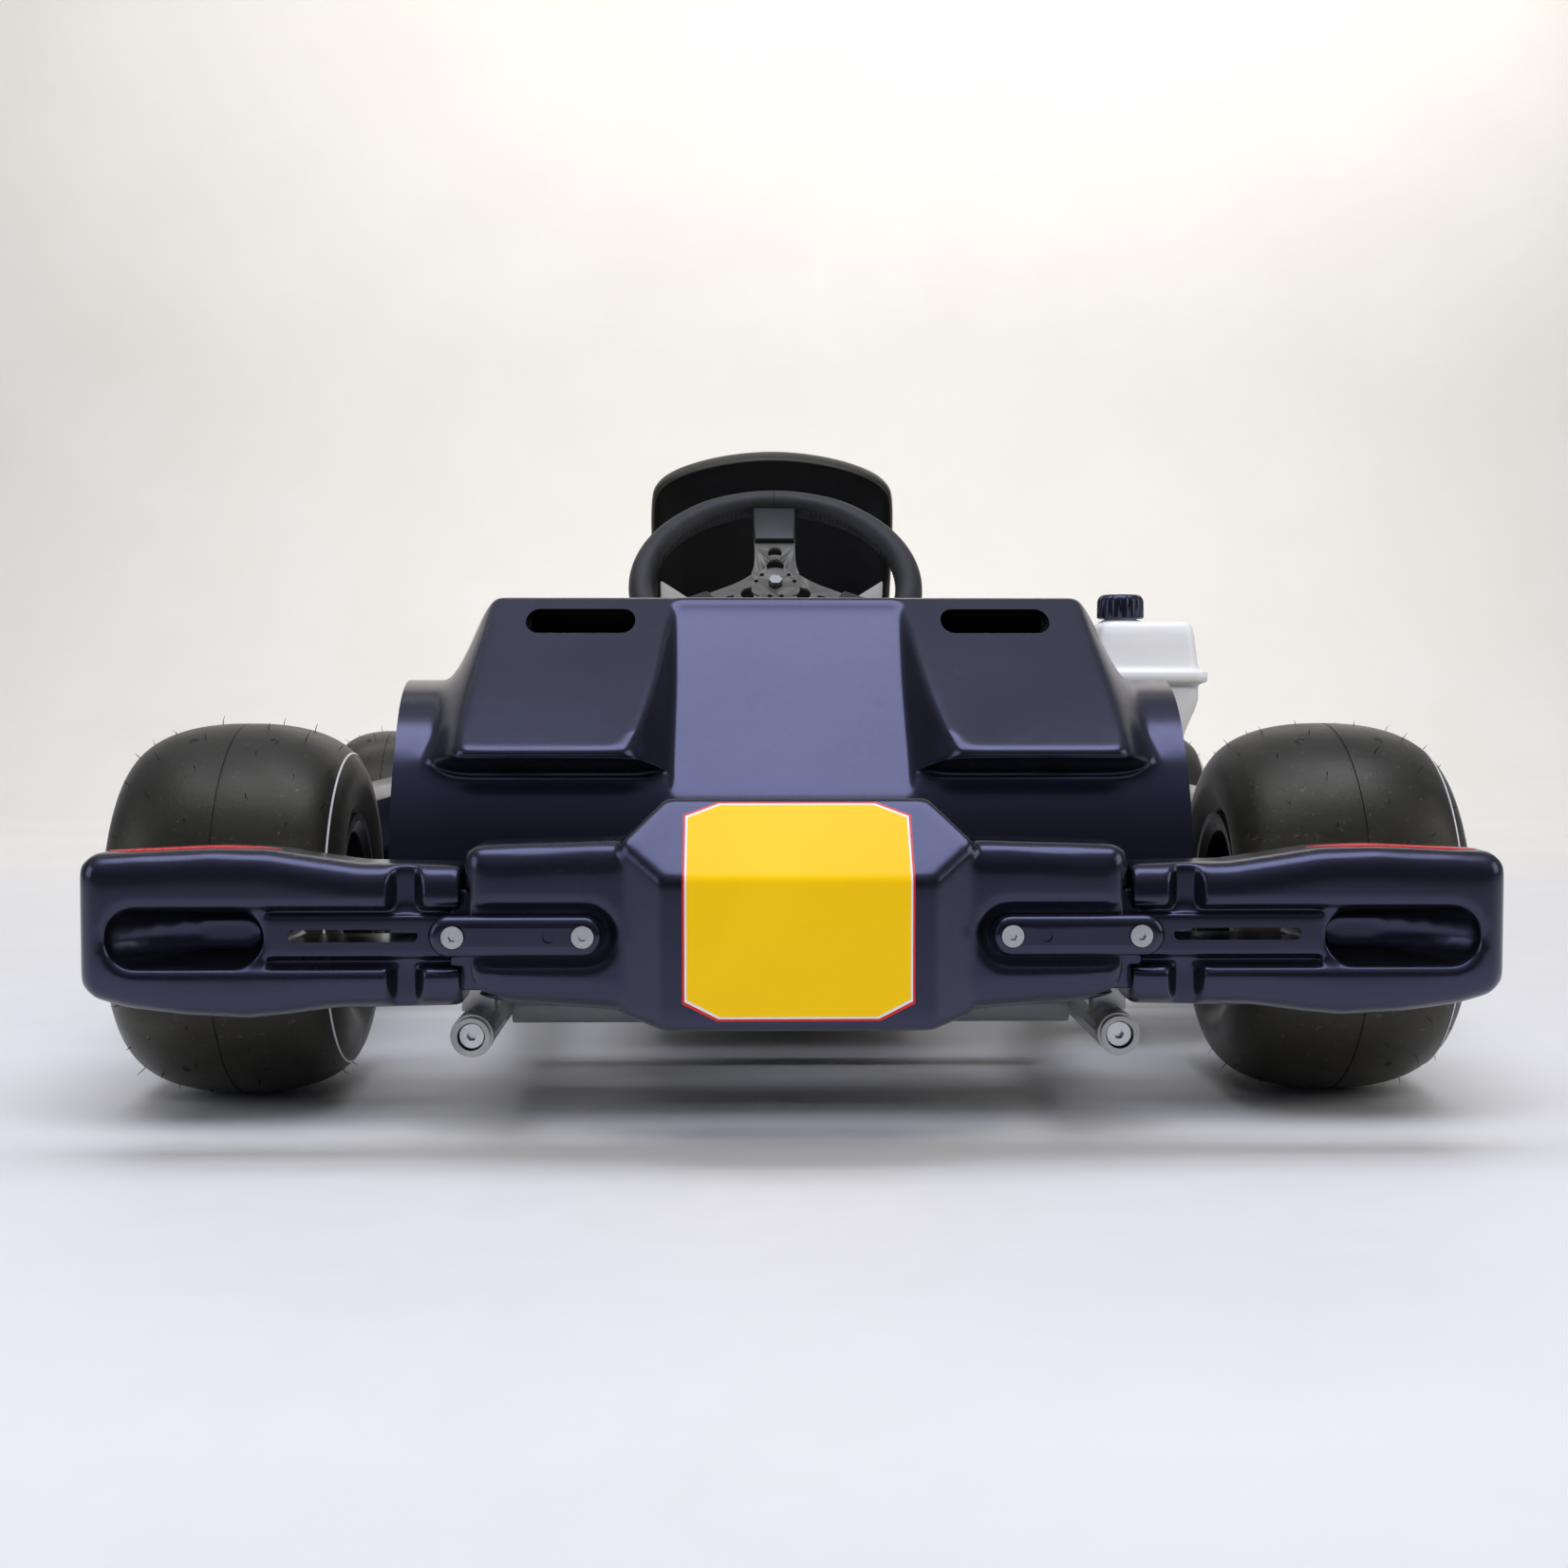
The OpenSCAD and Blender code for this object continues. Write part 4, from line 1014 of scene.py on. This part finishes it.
def build_pods():
    obs = []
    for s in (-1, 1):
        def hull(items):
            o = discs([(s * x, y, z, r, h) for x, y, z, r, h in items])
            melt(o, 0.005, 14)
            return o
        outer, inner = [], []
        for y in (190, 720):
            k = -30 if y > 400 else 10
            outer += [(440, y, 62, 22, 1), (486, y + k, 80, 20, 90), (400, y, 190, 18, 20)]
        for y in (196, 714):
            k = -30 if y > 400 else 10
            inner += [(440, y, 70, 18, 1), (482, y + k, 84, 16, 82), (394, y, 180, 18, 20)]
        o = hull(outer)
        cut(o, [hull(inner), prism([(s * 300, 150), (s * 404, 150), (s * 404, 800), (s * 300, 800)], 40, 186, "z")], solver="MANIFOLD")
        obs.append(o)
    ob = join(obs, "side_pods_shell")
    put(ob, "side_pods_shell", MATS["black_plastic"], "chassis", "side_pods")


def build_nose():
    def nose(d):
        it = both([(330, 1186, 66 + d, 28 - d, 60 - d * 2), (240, 1195, 62 + d, 40 - d, 110 - d * 2), (110, 1184, 64 + d, 40 - d, 170 - d * 2), (6, 1190, 66 + d, 45 - d, 146 - d * 2)])
        o = discs(it)
        melt(o, 0.005, 12)
        return o
    ob = nose(0)
    cut(ob, [nose(6), prism([(-320, 1100), (320, 1100), (320, 1186), (-320, 1186)], 74, 130, "z"),
             prism([(-140, 1100), (140, 1100), (140, 1186), (-140, 1186)], 74, 222, "z")], solver="MANIFOLD")
    put(ob, "nose_fairing_shell", MATS["black_plastic"], "chassis", "nose_fairing")


# ------------------------------------------------------------ steering wheel

T48 = math.radians(48)
WC = Vector((0, 550, 411))
CV = Vector((0, math.cos(T48), -math.sin(T48)))
CN = Vector((0, -math.sin(T48), -math.cos(T48)))


def on_wheel(a, b, d):
    """a right, b up the wheel face, d away from the driver, mm."""
    v = WC + Vector((a, 0, 0)) - CN * b + CV * d
    return P(v.x, v.y, v.z)


def wheel_prism(pts, d0, d1):
    bm = bmesh.new()
    lo = [bm.verts.new(on_wheel(x, y, d0)) for x, y in pts]
    hi = [bm.verts.new(on_wheel(x, y, d1)) for x, y in pts]
    bm.faces.new(lo)
    bm.faces.new(hi[::-1])
    for i in range(len(pts)):
        j = (i + 1) % len(pts)
        bm.faces.new((lo[j], lo[i], hi[i], hi[j]))
    bmesh.ops.recalc_face_normals(bm, faces=bm.faces)
    return make("wp", bm, None, None, keep=True)


def build_wheel():
    # padded rim with thumb swells and a sewn seam
    bm = bmesh.new()
    N, M = 220, 36
    rows = []
    for i in range(N):
        a = 2 * math.pi * i / N
        grow = 0.0
        for c in (math.radians(60), math.radians(120), math.radians(-20), math.radians(200)):
            d = (a - c + math.pi) % (2 * math.pi) - math.pi
            grow += math.exp(-(d / 0.16) ** 2)
        ring = []
        for j in range(M):
            b = 2 * math.pi * j / M
            r = 13.4 + 0.5 * grow
            # seam groove on the inside of the rim
            db = (b - math.pi + math.pi) % (2 * math.pi) - math.pi
            db = abs(abs(b - math.pi))
            if db < 0.14:
                r -= 1.1
            R = 136 + r * math.cos(b)
            ring.append(bm.verts.new(on_wheel(R * math.cos(a), R * math.sin(a), r * 1.04 * math.sin(b))))
        rows.append(ring)
    for i in range(N):
        A, B = rows[i], rows[(i + 1) % N]
        for j in range(M):
            k = (j + 1) % M
            bm.faces.new((A[j], A[k], B[k], B[j]))
    bmesh.ops.recalc_face_normals(bm, faces=bm.faces)
    rim = make("steering_wheel_grip", bm, MATS["grip"], None, keep=True)
    finish(rim, "steering", "steering_wheel")
    # butt joint of the cover at the top of the rim
    bm = bmesh.new()
    rows = []
    for da, dr in ((-0.0030, -0.6), (-0.0030, 0.10), (0.0030, 0.10), (0.0030, -0.6)):
        a = math.pi / 2 + da
        rows.append([])
        for j in range(M):
            b = 2 * math.pi * j / M
            r = 13.4 + dr
            R = 136 + r * math.cos(b)
            rows[-1].append(bm.verts.new(on_wheel(R * math.cos(a), R * math.sin(a), r * 1.04 * math.sin(b))))
    for A, B in zip(rows, rows[1:] + rows[:1]):
        for j in range(M):
            k = (j + 1) % M
            bm.faces.new((A[j], A[k], B[k], B[j]))
    bmesh.ops.recalc_face_normals(bm, faces=bm.faces)
    make("steering_wheel_joint", bm, BLACK_AND_SHADE, "steering", None)
    # stitches across the seam
    bm = bmesh.new()
    for i in range(150):
        a = 2 * math.pi * i / 150
        pts = []
        for f in range(5):
            b = math.pi + lerp(-0.24, 0.24, f / 4.0)
            r = 13.4 + (0.35 if f in (1, 2, 3) else -0.25)
            da = lerp(-0.006, 0.006, f / 4.0)
            pts.append(((136 + r * math.cos(b)), a + da, r * 1.04 * math.sin(b)))
        for (R0, a0, d0), (R1, a1, d1) in zip(pts, pts[1:]):
            quad = []
            for R, aa, d in ((R0, a0, d0), (R1, a1, d1)):
                for w in (-0.003, 0.003):
                    quad.append(bm.verts.new(on_wheel(R * math.cos(aa + w), R * math.sin(aa + w), d)))
            bm.faces.new((quad[0], quad[1], quad[3], quad[2]))
    bmesh.ops.remove_doubles(bm, verts=bm.verts, dist=0.00002)
    bmesh.ops.solidify(bm, geom=bm.faces, thickness=0.0005)
    bmesh.ops.recalc_face_normals(bm, faces=bm.faces)
    make("steering_wheel_stitches", bm, MATS["seat_shell"], "steering", None)
    # plate: hub disc and three spokes with crescent windows
    plates = [wheel_prism(circle(0, 0, 27, 64), -1.4, 1.4)]
    for deg in (90, -30, 210):
        c, s = math.cos(math.radians(deg)), math.sin(math.radians(deg))
        out = [(8, -26), (17, -24.5), (27, -22.2), (40, -21), (60, -21), (128, -23), (128, 23), (60, 21), (40, 21), (27, 22.2), (17, 24.5), (8, 26)]
        plates.append(wheel_prism([(x * c - y * s, x * s + y * c) for x, y in out], -1.3, 1.3))
    base = plates[0]
    cut(base, plates[1:], "UNION")
    tools = [wheel_prism(circle(0, 0, 7.2, 32), -9, 9)]
    for deg in (90, -30, 210):
        c, s = math.cos(math.radians(deg)), math.sin(math.radians(deg))
        for r0, w in ((28, 9.8), (50, 7.8)):
            out = []
            for i in range(17):
                a = math.radians(-75 + 150 * i / 16)
                out.append((r0 + w * math.cos(a) * 1.2, w * math.sin(a)))
            for i in range(17):
                a = math.radians(75 - 150 * i / 16)
                out.append((r0 - 5.5 + w * 0.36 * math.cos(a), w * 0.84 * math.sin(a)))
            tools.append(wheel_prism([(x * c - y * s, x * s + y * c) for x, y in out], -9, 9))
        for k in (-1, 1):
            a = math.radians(deg + 60 + 17 * k)
            tools.append(wheel_prism(circle(20 * math.cos(a), 20 * math.sin(a), 2.4, 20), -9, 9))
    cut(base, tools)
    mod(base, "BEVEL", width=0.0008, segments=2, limit_method="ANGLE", angle_limit=0.7)
    bake(base)
    put(base, "steering_wheel_plate", SPOKE, "steering", None, 35)
    # saddles where the spokes are clamped to the rim
    for k, deg in enumerate((90, -30, 210)):
        c, s = math.cos(math.radians(deg)), math.sin(math.radians(deg))
        out = [(67, -21.6), (122, -23.5), (122, 23.5), (67, 21.6)]
        sd = wheel_prism([(x * c - y * s, x * s + y * c) for x, y in out], -6.5, 5.5)
        mod(sd, "BEVEL", width=0.003, segments=4)
        bake(sd)
        put(sd, "steering_wheel_saddle_%d" % k, MATS["black_metal"], "steering", None, 35)


build_cowl()
build_bumper()
build_wing("left")
build_wing("right")
build_panel()
build_tyre("rear_tyres_pair", [(-409, 0, 140), (409, 0, 140)], 140, 85, 63.5, 71.6, "axle", "rear_tyres", 1)
build_tyre("front_tyre_left_body", [(-452, 950, 127)], 127, 65, 63.5, 50.6, "front_wheel_left", "front_tyre_left", 1)
build_tyre("front_tyre_right_body", [(452, 950, 127)], 127, 65, 63.5, 50.6, "front_wheel_right", "front_tyre_right", 1)
build_wheel()
build_tank()
build_nassau()
build_seat()
build_pods()
build_nose()
dress()


# ------------------------------------------------------------ stage

def floor():
    bm = bmesh.new()
    rows = []
    prof = [(-24.0, 0.0), (-6.0, 0.0), (2.6, 0.0)]
    for i in range(1, 13):
        a = math.radians(90.0 * i / 12)
        prof.append((2.6 + 1.2 * math.sin(a), 1.2 * (1 - math.cos(a))))
    prof.append((3.8, 3.4))
    for y, z in prof:
        rows.append([bm.verts.new(Vector((x, y, z))) for x in (-24, -6, 0, 6, 24)])
    for A, B in zip(rows, rows[1:]):
        for i in range(4):
            bm.faces.new((A[i], A[i + 1], B[i + 1], B[i]))
    me = bpy.data.meshes.new("stage_floor")
    bm.to_mesh(me)
    bm.free()
    ob = bpy.data.objects.new("stage_floor", me)
    bpy.context.scene.collection.objects.link(ob)
    m = Mat("stage_pale")
    sp = m.node("ShaderNodeSeparateXYZ")
    m.link(m.tc.outputs["Object"], sp.inputs[0])
    pale = m.ramp(m.noise(3, 4), [(0.3, (0.80, 0.79, 0.76)), (0.7, (0.83, 0.82, 0.80))])
    # painted shade: the floor runs from pale at y -1.25 m to dark grey at y -2.9 m, towards and behind the camera,
    # where the key lamp lights it most
    m.color(m.mix(m.span(sp.outputs["Y"], 0.0, 1.0, -2.9, -1.25), (0.36, 0.36, 0.37), pale))
    m.rough(m.span(m.noise(30, 4), 0.55, 0.7))
    me.materials.append(m.m)
    for p in me.polygons:
        p.use_smooth = True


floor()


def area(name, loc, target, size, power, color, size_y=None):
    d = bpy.data.lights.new(name, "AREA")
    d.energy = power
    d.color = color
    d.size = size
    if size_y:
        d.shape = "RECTANGLE"
        d.size_y = size_y
    o = bpy.data.objects.new(name, d)
    o.location = loc
    o.rotation_euler = (Vector(target) - Vector(loc)).to_track_quat("-Z", "Y").to_euler()
    bpy.context.scene.collection.objects.link(o)
    return o


area("light_top", (0.0, -0.62, 2.9), (0.0, -0.58, 0), 3.0, 42, (0.80, 0.83, 1.0), 1.4)
area("light_key", (0.0, -3.3, 2.7), (0.0, -0.7, 0.25), 2.6, 62, (0.98, 0.97, 1.0), 1.0)
bpy.data.objects["light_key"].visible_glossy = False
area("light_front", (0.3, 2.1, 2.9), (0.0, 3.8, 1.1), 5.0, 74, (1.0, 0.95, 0.84), 1.2)
area("light_left", (-3.0, -1.4, 1.3), (0, -0.4, 0.25), 1.5, 13, (0.85, 0.90, 1.0), 1.8)
area("light_right", (3.0, -1.2, 1.5), (0, -0.4, 0.25), 1.5, 15, (1.0, 0.97, 0.92), 1.8)

w = bpy.data.worlds.new("studio")
bpy.context.scene.world = w
w.use_nodes = True
nt = w.node_tree
bg = nt.nodes["Background"]
tcw = nt.nodes.new("ShaderNodeTexCoord")
sep = nt.nodes.new("ShaderNodeSeparateXYZ")
rmp = nt.nodes.new("ShaderNodeValToRGB")
nt.links.new(tcw.outputs["Generated"], sep.inputs["Vector"])
nt.links.new(sep.outputs["Z"], rmp.inputs["Fac"])
el = rmp.color_ramp.elements
el[0].position, el[0].color = 0.0, (0.06, 0.065, 0.09, 1)
el[1].position, el[1].color = 1.0, (0.60, 0.62, 0.72, 1)
e = el.new(0.35)
e.color = (0.08, 0.085, 0.11, 1)
e = el.new(0.75)
e.color = (0.24, 0.25, 0.30, 1)
e = el.new(0.90)
e.color = (0.42, 0.44, 0.52, 1)
nt.links.new(rmp.outputs["Color"], bg.inputs["Color"])
bg.inputs["Strength"].default_value = 1.0
bpy.context.scene.view_settings.view_transform = "Standard"

cam = bpy.data.cameras.new("camera")
cam.lens = 48.99
cam.sensor_width = 36.0
cam.sensor_fit = "HORIZONTAL"
cam.dof.use_dof = False
co = bpy.data.objects.new("camera", cam)
co.location = (-0.0385, -2.105, 0.309)
co.rotation_euler = (math.radians(90 - 2.65), 0, math.radians(-1.24))
bpy.context.scene.collection.objects.link(co)
bpy.context.scene.camera = co
